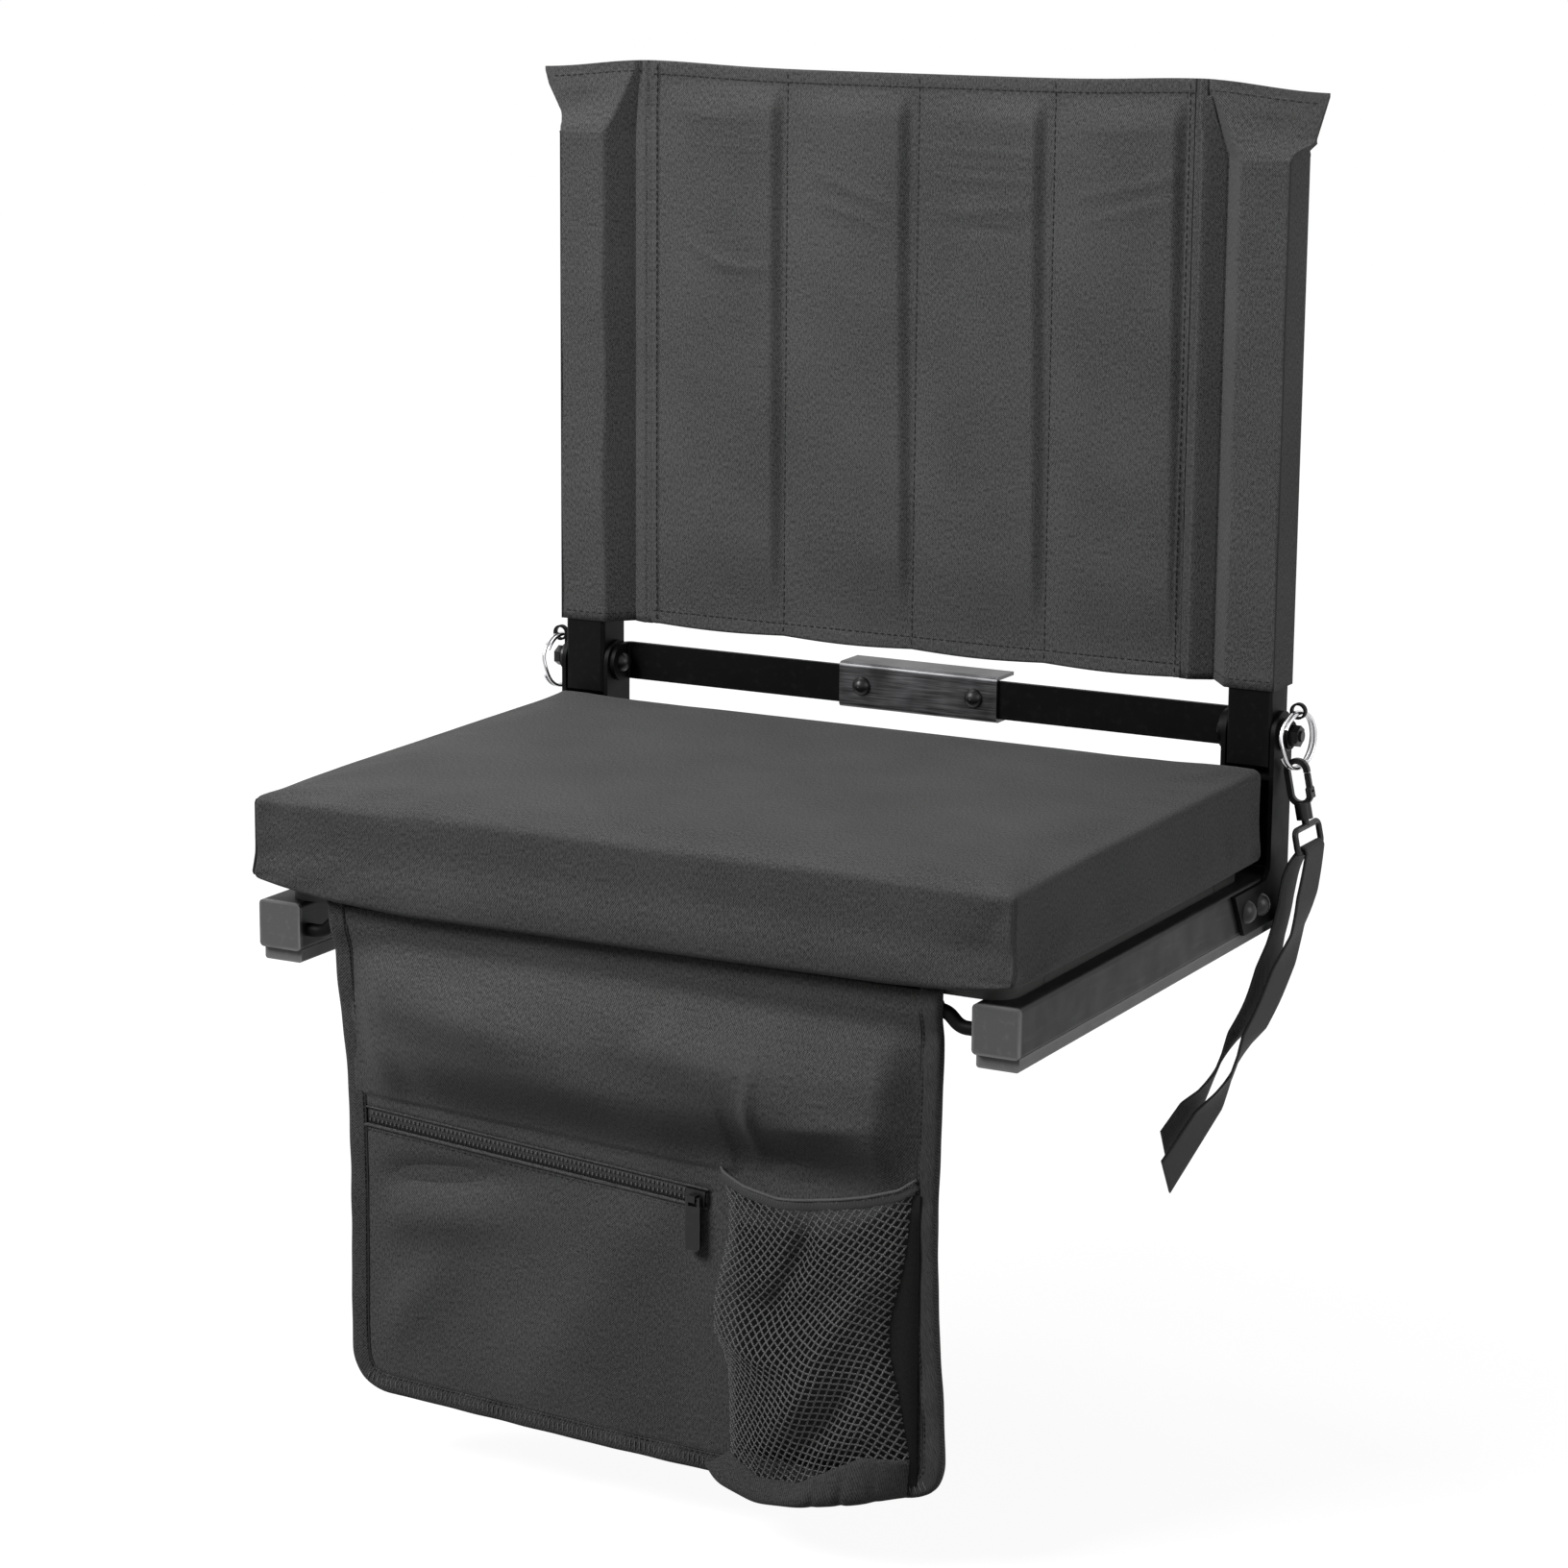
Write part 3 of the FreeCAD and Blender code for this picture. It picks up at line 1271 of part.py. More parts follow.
def ring_lugs():
    """A strip under each hinge nut, rolled at its top into an eye for the ring."""
    strip, eye = S.lug_strip, S.lug_eye
    half_eye = S.lug_eye_length / 2
    y = (pivot_back - half_eye, pivot_back + half_eye)
    clear = S.pivot_bolt / 2 + S.shaft_fit
    for side, sign in SIDES.items():
        seat = sign * (rail_middle + lug_seat)
        x_low = seat if sign > 0 else seat - strip
        foot = rod(side + "_lug_disc", "x", (x_low, pivot_back, S.pivot_height), S.lug_width / 2, strip)
        neck = block(side + "_lug_neck", (x_low, x_low + strip), y, (S.pivot_height, eye_height))
        roll_start = (sign * eye_reach, y[0], eye_height)
        roll = rod(side + "_lug_roll", "y", roll_start, eye + strip, S.lug_eye_length)
        whole = fuse(side + "_lug_whole", foot, neck, roll)
        bore_start = (sign * eye_reach, y[0] - strip, eye_height)
        bore = rod(side + "_lug_bore", "y", bore_start, eye, S.lug_eye_length + strip * 2)
        hole_start = (x_low - strip, pivot_back, S.pivot_height)
        hole = rod(side + "_lug_hole", "x", hole_start, clear, strip * 3)
        keep(side + "_ring_lug", cut(side + "_lug", whole, bore, hole))


def biarc(start, start_way, end, end_way):
    """Two arcs that meet smoothly and leave and arrive along given directions."""
    chord = end - start
    sum_way = start_way + end_way
    a = 2 * (1 - start_way.dot(end_way))
    b = 2 * chord.dot(sum_way)
    c = -chord.dot(chord)
    step = (-b + math.sqrt(b * b - 4 * a * c)) / (2 * a)
    first, last = start + start_way * step, end - end_way * step
    joint = (first + last) / 2
    edges = []
    for a_point, control, b_point in ((start, first, joint), (joint, last, end)):
        middle = (a_point + b_point) / 2
        half_chord = (b_point - a_point).Length / 2
        rise = (control - middle).Length
        sagitta = half_chord * (math.hypot(half_chord, rise) - half_chord) / rise
        through = middle + (control - middle).normalize() * sagitta
        edges.append(Part.Arc(a_point, through, b_point).toShape())
    return edges


def split_ring(label, turn, centre):
    """A ring of two sprung turns: each turn stays flat, and the wire crosses between them."""
    radius, pitch, wire = S.ring_radius.value, S.ring_pitch.value, S.ring_wire.value
    cross = math.radians(S.ring_crossover.value)
    first = math.pi + cross / 2

    def at(angle, along):
        return Vector(along, radius * math.cos(angle), radius * math.sin(angle))

    def way(angle):
        return Vector(0, -math.sin(angle), math.cos(angle))

    leave, arrive = first - cross, first
    crossing = Part.Wire(biarc(at(leave, -pitch / 2), way(leave), at(arrive, pitch / 2), way(arrive)))
    section = Part.Wire(Part.makeCircle(wire / 2, at(leave, -pitch / 2), way(leave)))
    ring = crossing.makePipeShell([section], True, False)
    open_turn = 2 * math.pi - cross
    places = crossing.discretize(Number=30)
    for along in (-pitch / 2, pitch / 2):
        turned = math.degrees(open_turn)
        flat = Part.makeTorus(radius, wire / 2, Vector(), Vector(0, 0, 1), -180, 180, turned)
        flat.rotate(Vector(), Vector(0, 0, 1), math.degrees(first))
        flat.rotate(Vector(), Vector(1, 1, 1), 120)
        flat.translate(Vector(along, 0, 0))
        ring = ring.fuse(flat)
    thing = formed(label, ring)
    thing.Placement = Placement(centre, Rotation(Vector(0, 0, 1), turn))
    angles = [first + open_turn * step / 90 for step in range(91)]
    rim = [(at(angle, -pitch / 2), at(angle, pitch / 2)) for angle in angles]
    apart = [a.distanceToPoint(b) - wire for a, b in rim]
    apart += [a.distanceToPoint(rim[-1][1]) - wire for a in places]
    apart += [a.distanceToPoint(rim[0][0]) - wire for a in places]
    print(f"{label}: least gap between its turns {min(apart):.2f} mm")


def ring_centre(sign):
    """The middle of a hanging ring."""
    height = eye_height - S.ring_hang - S.ring_radius
    return Vector(sign * eye_reach.value, pivot_back.value, height.value)


def rings():
    """The carrying rings, each hanging through its lug's eye."""
    split_ring("left_split_ring", S.ring_turn_left.value, ring_centre(-1))
    split_ring("right_split_ring", -S.ring_turn_right.value, ring_centre(1))


def hook_place():
    """The hook's leaning frame, with its origin at the foot of the right ring's wire."""
    foot = ring_centre(1) - Vector(0, 0, S.ring_radius.value)
    return Placement(foot, Rotation(Vector(0, 1, 0), -S.hook_lean.value))


def stadium(half_width, low, high, thickness):
    """An upright stadium-shaped slab in the hook's plane, centred on its thickness."""
    back = -thickness / 2
    round_low = low + half_width
    round_high = high - half_width
    corner = Vector(-half_width, back, round_low)
    slab = Part.makeBox(2 * half_width, thickness, round_high - round_low, corner)
    for height in (round_low, round_high):
        slab = slab.fuse(Part.makeCylinder(half_width, thickness, Vector(0, back, height), Vector(0, 1, 0)))
    return slab.removeSplitter()


def snap_hook():
    """The snap hook's bow and swivel barrel, the gate on its pin, and the strap eye."""
    bar, gap = S.bow_bar.value, S.gate_gap.value
    half = S.bow_width.value / 2
    top = S.ring_wire.value / 2 + S.bow_hang.value + bar
    low = top - S.bow_height.value
    room = stadium(half - bar, low + bar, top - bar, bar * 4)
    gate_low = low + half + gap
    gate_high = gate_low + S.gate_length.value
    pin_across, pin_up = half - bar / 2, gate_low + bar / 2
    cheek = bar / 3
    fork = bar + 2 * (gap + cheek)
    axis = Vector(0, 1, 0)

    slot_size = (bar * 2, bar * 2, gate_high - gate_low + 2 * gap)
    slot = Part.makeBox(*slot_size, Vector(half - bar * 1.5, -bar, gate_low - gap))
    radius, long = S.barrel_radius.value, S.barrel_length.value
    barrel_top = low + bar * 0.7
    barrel = Part.makeCylinder(radius, long, Vector(0, 0, barrel_top - long))
    body = stadium(half, low, top, bar).fuse(barrel).cut(room).cut(slot)
    bridge = Part.makeBox(bar, fork, bar, Vector(half - bar, -fork / 2, gate_low - gap - bar))
    body = body.fuse(bridge.cut(room))
    for start in (-fork / 2, fork / 2 - cheek):
        ear = Part.makeCylinder(bar / 2, cheek, Vector(pin_across, start, pin_up), axis)
        web = Part.makeBox(bar, cheek, bar, Vector(half - bar, start, pin_up - bar))
        body = body.fuse(ear).fuse(web)
    pin = Part.makeCylinder(S.gate_pin.value / 2, fork, Vector(pin_across, -fork / 2, pin_up), axis)
    shank = S.swivel_shank.value / 2
    well_top = barrel_top - S.barrel_cap.value
    well = Part.makeCylinder(shank + S.shaft_fit.value, long * 2, Vector(0, 0, well_top - long * 2))
    body = body.removeSplitter().cut(pin).cut(well)

    thick = bar - 2 * gap
    blade = Part.makeBox(bar, thick, gate_high - pin_up, Vector(half - bar, -thick / 2, pin_up))
    foot = Part.makeCylinder(bar / 2, thick, Vector(pin_across, -thick / 2, pin_up), axis)
    pin_room = S.gate_pin.value / 2 + S.shaft_fit.value
    hole = Part.makeCylinder(pin_room, bar * 2, Vector(pin_across, -bar, pin_up), axis)
    gate = blade.fuse(foot).removeSplitter().cut(hole)

    eye_bar = S.eye_bar.value / 2
    eye_top = barrel_top - long - S.swivel_neck.value
    high_bar = eye_top - eye_bar
    low_bar = high_bar - S.eye_height.value - 2 * eye_bar
    swivel = Part.makeCylinder(shank, well_top - gap - high_bar, Vector(0, 0, high_bar))
    eye = wire_loop(S.eye_width.value / 2 + eye_bar, low_bar, high_bar, eye_bar).fuse(swivel)
    pieces = {"hook_body": body, "hook_gate": gate, "gate_pin": pin, "swivel_eye": eye.removeSplitter()}
    place = hook_place()
    for label, shape in pieces.items():
        formed(label, shape).Placement = place
    return place.multVec(Vector(0, 0, low_bar))


def wire_loop(half_width, low, high, radius):
    """A loop of round bar in the YZ plane: four straight bars and four bent corners."""
    bend = radius * 2
    loop = None
    for height in (low, high):
        start = Vector(0, -half_width + bend, height)
        bar = Part.makeCylinder(radius, 2 * (half_width - bend), start, Vector(0, 1, 0))
        loop = bar if loop is None else loop.fuse(bar)
    for across in (-half_width, half_width):
        start = Vector(0, across, low + bend)
        loop = loop.fuse(Part.makeCylinder(radius, high - low - 2 * bend, start, Vector(0, 0, 1)))
    for quarter, (across, height) in enumerate([(1, 1), (-1, 1), (-1, -1), (1, -1)]):
        corner = Part.makeTorus(bend, radius, Vector(), Vector(0, 0, 1), -180, 180, 90)
        corner.rotate(Vector(), Vector(0, 0, 1), 90 * quarter)
        corner.rotate(Vector(), Vector(1, 1, 1), 120)
        middle_height = high - bend if height > 0 else low + bend
        corner.translate(Vector(0, across * (half_width - bend), middle_height))
        loop = loop.fuse(corner)
    return loop


# The strap's two strands, chosen by hand: each point's place from the bar it hangs on, across and up
INNER_STRAND = [(-9.7, -7.0), (-13.7, -37.0), (-27.2, -87.0), (-49.7, -129.0), (-78.7, -177.0)]
OUTER_STRAND = [(2.3, -7.0), (-2.7, -37.0), (-20.7, -89.0), (-41.2, -131.0), (-77.2, -194.0)]


def strand_ways(points):
    """The direction of a strand at each of its points, from the points beside it."""
    ways = []
    for index in range(len(points)):
        before, after = points[max(index - 1, 0)], points[min(index + 1, len(points) - 1)]
        ways.append((after - before).normalize())
    return ways


def beside(edge, distance):
    """An arc in the XZ plane moved sideways by a distance."""
    moved = []
    for share in (0, 0.5, 1):
        place = edge.FirstParameter + (edge.LastParameter - edge.FirstParameter) * share
        way = edge.tangentAt(place)
        moved.append(edge.valueAt(place) + Vector(way.z, 0, -way.x) * distance)
    return Part.Arc(*moved).toShape()


def strap(bar_centre):
    """One length of webbing folded over the strap eye's bar, both ends hanging."""
    half = S.strap_thickness.value / 2
    turn = S.eye_bar.value / 2 + S.strap_fit.value + half
    over = Vector(bar_centre.x, 0, bar_centre.z)
    up, out = Vector(0, 0, 1), Vector(1, 0, 0)
    inner = [over + Vector(x, 0, z) for x, z in reversed(INNER_STRAND)]
    outer = [over + Vector(x, 0, z) for x, z in OUTER_STRAND]
    points = inner + [over - out * turn, over + up * turn, over + out * turn] + outer
    ways = strand_ways(inner) + [up, out, -up] + strand_ways(outer)
    arcs = []
    for index in range(len(points) - 1):
        arcs += biarc(points[index], ways[index], points[index + 1], ways[index + 1])
    left = [beside(arc, half) for arc in arcs]
    right = [beside(arc, -half) for arc in arcs]
    ends = []
    for first, last, at in ((left[0], right[0], 0), (left[-1], right[-1], -1)):
        ends.append(Part.makeLine(first.Vertexes[at].Point, last.Vertexes[at].Point))
    face = Part.Face(Part.Wire(Part.__sortEdges__(left + right + ends)))
    width = S.strap_width.value
    band = face.extrude(Vector(0, width, 0))
    band.translate(Vector(0, bar_centre.y - width / 2, 0))
    formed("strap", band)
    print(f"strap: centreline {sum(arc.Length for arc in arcs):.1f} mm")


seat_rails()
hinge_brackets()
rail_fasteners()
rear_stretcher()
bag_rod()
seat_board()
pivot_fasteners()
brace()
uprights()
sleeves()
back_panel()
cushion()
bag()
zipper()
mesh_pocket()
ring_lugs()
rings()
strap(snap_hook())
doc.recompute()

faults = [thing.Name for thing in doc.Objects if {"Invalid", "Error"} & set(thing.State)]
if faults:
    raise RuntimeError(f"failed objects: {faults}")
for label, thing in nodes.items():
    if thing.Shape.isNull() or not thing.Shape.isValid():
        raise RuntimeError(f"{label} has no valid shape")

os.makedirs("parts", exist_ok=True)
for label, thing in nodes.items():
    thing.Shape.exportStep(f"parts/{label}.step")
print(f"{len(nodes)} sub-parts written")
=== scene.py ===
"""Looks of a folding bleacher seat: its cloth, webbing, net and finishes, in a plain studio."""

import logging
import math
from dataclasses import dataclass
from enum import Enum

import bmesh
import bpy
import numpy as np
from mathutils import Matrix, Vector


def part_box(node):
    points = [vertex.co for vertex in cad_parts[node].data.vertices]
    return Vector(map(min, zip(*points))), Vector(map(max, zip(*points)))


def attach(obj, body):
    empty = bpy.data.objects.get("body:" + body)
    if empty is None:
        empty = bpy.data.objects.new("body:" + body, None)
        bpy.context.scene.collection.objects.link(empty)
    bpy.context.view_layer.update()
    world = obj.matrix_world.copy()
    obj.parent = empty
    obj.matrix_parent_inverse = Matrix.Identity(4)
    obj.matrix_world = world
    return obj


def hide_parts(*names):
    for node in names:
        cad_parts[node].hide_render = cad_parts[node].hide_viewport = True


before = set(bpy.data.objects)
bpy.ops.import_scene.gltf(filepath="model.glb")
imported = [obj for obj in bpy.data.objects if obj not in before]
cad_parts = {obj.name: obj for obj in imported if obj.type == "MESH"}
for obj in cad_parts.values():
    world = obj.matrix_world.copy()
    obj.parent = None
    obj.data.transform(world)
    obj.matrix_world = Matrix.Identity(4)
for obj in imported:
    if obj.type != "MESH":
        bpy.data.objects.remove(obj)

Array = np.ndarray
Span = tuple[float, float]
Triple = tuple[float, float, float]
Pairs = tuple[Span, ...]
MM = 0.001
CLOTH_UV = "cloth"
FORWARD = (0.0, -1.0, 0.0)
BACKWARD = (0.0, 1.0, 0.0)
log = logging.getLogger("bleacher_seat")
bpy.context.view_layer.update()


class Side(Enum):
    """Which side of the seat a piece is on, as the sign of its X."""

    LEFT = -1
    RIGHT = 1


class Body(Enum):
    """The moving bodies that new pieces ride on."""

    SEAT = "seat_frame"
    BACK = "back"
    BAG = "bag"
    STRAP = "strap_swivel"


# Numbers and curves


def linear(code: str) -> tuple[float, float, float, float]:
    """Turn an sRGB hex colour into linear RGBA.

    Args:
        code: six hex digits after a hash sign.

    Returns:
        The linear colour with full alpha.
    """
    parts = [int(code[place:place + 2], 16) / 255 for place in (1, 3, 5)]
    return (*[p / 12.92 if p <= 0.04045 else ((p + 0.055) / 1.055) ** 2.4 for p in parts], 1.0)


def smooth(low: float, high: float, value: Array) -> Array:
    """A cubic step: 0 up to low, 1 from high on, level at both ends."""
    share = np.clip((value - low) / (high - low), 0, 1)
    return share * share * (3 - 2 * share)


def hump(value: Array, centre: float, width: float) -> Array:
    """A bell of height 1 at the centre, falling to 1/e at one width."""
    return np.exp(-(((value - centre) / width) ** 2))


def arc_lengths(points: Array) -> Array:
    """Running length along the first axis of an array of points."""
    steps = np.linalg.norm(np.diff(points, axis=0), axis=-1)
    return np.concatenate([np.zeros((1, *steps.shape[1:])), np.cumsum(steps, axis=0)])


def resample(points: Array, count: int) -> Array:
    """Points at equal lengths along a polyline.

    Args:
        points: the corners, one per row.
        count: how many points to return.

    Returns:
        An array of count rows.
    """
    run = arc_lengths(points)
    places = np.linspace(0, run[-1], count)
    return np.stack([np.interp(places, run, axis) for axis in points.T], -1)


def rounded(points: Array, count: int, reach: int) -> Array:
    """A polyline resampled and softened by a running mean of 2 * reach + 1 points, ends kept."""
    even = resample(points, count)
    first = 2 * even[:1] - even[reach:0:-1]
    last = 2 * even[-1:] - even[-2:-reach - 2:-1]
    padded = np.concatenate([first, even, last])
    kernel = np.full(2 * reach + 1, 1 / (2 * reach + 1))
    return np.stack([np.convolve(axis, kernel, "valid") for axis in padded.T], -1)


def spline(points: Array, count: int) -> Array:
    """A smooth curve near a few given points: three rounds of corner softening."""
    reach = max(1, count // (4 * len(points)))
    curve = resample(points, count)
    for _ in range(3):
        curve = rounded(curve, count, reach)
    return curve


def unit(vectors: Array) -> Array:
    """Vectors scaled to length 1 along the last axis."""
    return vectors / np.maximum(np.linalg.norm(vectors, axis=-1, keepdims=True), 1e-12)


@dataclass(frozen=True)
class Crease:
    """A soft ridge, or a dent if its height is negative, on a surface with two flat coordinates.

    The height falls off as a bell along and across a line through the centre.
    """

    across: float
    up: float
    angle: float
    length: float
    width: float
    height: float

    def lift(self, across: Array, up: Array) -> Array:
        """Height of the crease at each point."""
        turn = math.radians(self.angle)
        along = (across - self.across) * math.cos(turn) + (up - self.up) * math.sin(turn)
        aside = (up - self.up) * math.cos(turn) - (across - self.across) * math.sin(turn)
        return self.height * np.exp(-((along / self.length) ** 2) - (aside / self.width) ** 2)


# Meshes


class Skin:
    """Gathers grids of points into one mesh with lengths in metres as its texture coordinates."""

    weld = 0.002 * MM

    def __init__(self) -> None:
        """Start with no faces."""
        self.points: list[Array] = []
        self.faces: list[Array] = []
        self.places: list[Array] = []
        self.count = 0

    def grid(self, points: Array, closed: bool = False, flip: bool = False, uv: Array | None = None) -> None:
        """Add the quads of a grid.

        Args:
            points: surface points in millimetres, indexed (i, j, axis).
            closed: whether the last row joins the first.
            flip: whether the faces are turned over.
            uv: texture places in millimetres, indexed (i, j, axis), with one row more if closed;
                by default the running lengths along both directions.
        """
        rows, columns = points.shape[:2]
        ring = np.concatenate([points, points[:1]]) if closed else points
        if uv is None:
            uv = np.stack([arc_lengths(ring), arc_lengths(ring.swapaxes(0, 1)).T], -1)
        i, j = np.meshgrid(np.arange(len(ring) - 1), np.arange(columns - 1), indexing="ij")
        corners = [(i, j), (i + 1, j), (i + 1, j + 1), (i, j + 1)]
        if flip:
            corners.reverse()
        faces = np.stack([(a % rows) * columns + b for a, b in corners], -1).reshape(-1, 4)
        places = np.stack([uv[a, b] for a, b in corners], -2).reshape(-1, 2)
        self.points.append(points.reshape(-1, 3) * MM)
        self.faces.append(faces + self.count)
        self.places.append(places * MM)
        self.count += rows * columns

    def slab(self, front: Array, back: Array) -> None:
        """Add a closed slab between two grids of one shape, with its four edges."""
        uv = np.stack([arc_lengths(front), arc_lengths(front.swapaxes(0, 1)).T], -1)
        self.grid(front, uv=uv)
        self.grid(back, flip=True, uv=uv)
        for edge in (np.s_[:, 0], np.s_[:, -1], np.s_[0], np.s_[-1]):
            self.grid(np.stack([front[edge], back[edge]]), uv=np.stack([uv[edge], uv[edge]]))

    def sheet(self, middle: Array, thickness: float) -> None:
        """Add a sheet of even thickness, half of it on each side of a grid."""
        normal = unit(np.cross(np.gradient(middle, axis=0), np.gradient(middle, axis=1)))
        self.slab(middle + normal * thickness / 2, middle - normal * thickness / 2)

    def tube(self, path: Array, radius: float | Span, sides: int, aside: Array | None = None) -> None:
        """Add a round or flat tube along a path, closed at its ends.

        Args:
            path: centreline points in millimetres.
            radius: the radius, or the two half-widths of a flat tube.
            sides: points round the section.
            aside: a direction that the first half-width leans to, per point.
        """
        way = unit(np.gradient(path, axis=0))
        lean = np.broadcast_to(BACKWARD, path.shape) if aside is None else aside
        first = unit(lean - way * np.sum(lean * way, axis=-1, keepdims=True))
        second = np.cross(way, first)
        half = np.broadcast_to(radius, 2)
        angle = (np.arange(sides) * math.tau / sides)[:, None, None]
        ring = path + np.cos(angle) * first * half[0] + np.sin(angle) * second * half[1]
        caps = np.broadcast_to(path[[0, -1]], (sides, 2, 3))
        self.grid(np.concatenate([caps[:, :1], ring, caps[:, 1:]], axis=1), closed=True)

    def object(self, name: str, material: bpy.types.Material) -> bpy.types.Object:
        """Make one closed, welded, smooth object at the origin.

        Args:
            name: the piece's name.
            material: its finish.

        Returns:
            The linked object.
        """
        mesh = bpy.data.meshes.new(name)
        mesh.from_pydata(np.concatenate(self.points), [], np.concatenate(self.faces))
        layer = mesh.uv_layers.new(name=CLOTH_UV)
        layer.data.foreach_set("uv", np.concatenate(self.places).astype(np.float32).ravel())
        solid = bmesh.new()
        solid.from_mesh(mesh)
        bmesh.ops.remove_doubles(solid, verts=solid.verts, dist=self.weld)
        bmesh.ops.recalc_face_normals(solid, faces=solid.faces)
        solid.to_mesh(mesh)
        solid.free()
        mesh.shade_smooth()
        mesh.materials.append(material)
        piece = bpy.data.objects.new(name, mesh)
        bpy.context.scene.collection.objects.link(piece)
        return piece


@dataclass(frozen=True)
class Stitching:
    """Rows of sewn thread: each stitch is a short spindle that lies on the cloth."""

    pitch: float = 4.0
    length: float = 2.9
    radius: float = 0.42
    rise: float = 0.1
    stations: tuple[float, ...] = (-1.0, -0.75, 0.0, 0.75, 1.0)
    sides: int = 6

    def sew(self, skin: Skin, line: Array, outward: Triple, across: bool = False) -> None:
        """Add stitches along a line.

        The spindle's radius goes as the square root of 1 - s * s along its length.

        Args:
            skin: where the stitches go.
            line: points on the cloth in millimetres.
            outward: the cloth's outward direction, of length 1.
            across: whether each stitch lies across the line.
        """
        count = max(2, int(arc_lengths(line)[-1] / self.pitch))
        centre = resample(line, 2 * count + 1)[1::2]
        way = unit(np.gradient(centre, axis=0))
        out = np.broadcast_to(outward, centre.shape)
        aside = unit(np.cross(way, out))
        if across:
            way, aside = aside, way
        along = np.array(self.stations)
        thick = np.sqrt(1 - along**2) * self.radius
        angle = (np.arange(self.sides) * math.tau / self.sides)[:, None, None]
        round_part = np.cos(angle) * aside[:, None, None] + np.sin(angle) * out[:, None, None]
        spine = centre + out * self.rise
        stitch = (
            spine[:, None, None]
            + (along * self.length / 2)[None, None, :, None] * way[:, None, None]
            + thick[None, None, :, None] * round_part
        )
        for one in stitch:
            skin.grid(one, closed=True)


# Finishes


def add(tree: bpy.types.NodeTree, kind: str, values: dict | None = None, **settings) -> bpy.types.Node:
    """Add a node with its settings, constants and links.

    Args:
        tree: the material's node tree.
        kind: the node's type name, without ShaderNode.
        values: constants or other nodes' sockets, by input name or number.
        settings: the node's own properties.

    Returns:
        The new node.
    """
    item = tree.nodes.new(f"ShaderNode{kind}")
    for key, value in settings.items():
        setattr(item, key, value)
    for key, value in (values or {}).items():
        if isinstance(value, bpy.types.NodeSocket):
            tree.links.new(value, item.inputs[key])
        else:
            item.inputs[key].default_value = value
    return item


def new_material(name: str) -> tuple[bpy.types.Material, bpy.types.NodeTree]:
    """An empty node material and its tree."""
    material = bpy.data.materials.new(name)
    material.use_nodes = True
    material.node_tree.nodes.clear()
    return material, material.node_tree


def surface(
    tree: bpy.types.NodeTree, tone: bpy.types.NodeSocket, colours: tuple[str, str],
    height: bpy.types.NodeSocket, relief: Span, values: dict,
) -> None:
    """End a tree in one principled shader with a mixed colour and a relief.

    Args:
        tree: the material's node tree.
        tone: 0 for the first colour to 1 for the second.
        colours: two hex colours.
        height: what the relief follows.
        relief: the relief's strength and its depth in millimetres.
        values: the shader's other inputs.
    """
    first, second = (linear(code) for code in colours)
    mixed = add(tree, "Mix", {0: tone, 6: first, 7: second}, data_type="RGBA").outputs[2]
    strength, depth = relief
    bump = add(tree, "Bump", {"Strength": strength, "Distance": depth * MM, "Height": height}).outputs[0]
    shader = add(tree, "BsdfPrincipled", {"Base Color": mixed, "Normal": bump, **values})
    add(tree, "OutputMaterial", {"Surface": shader.outputs[0]})


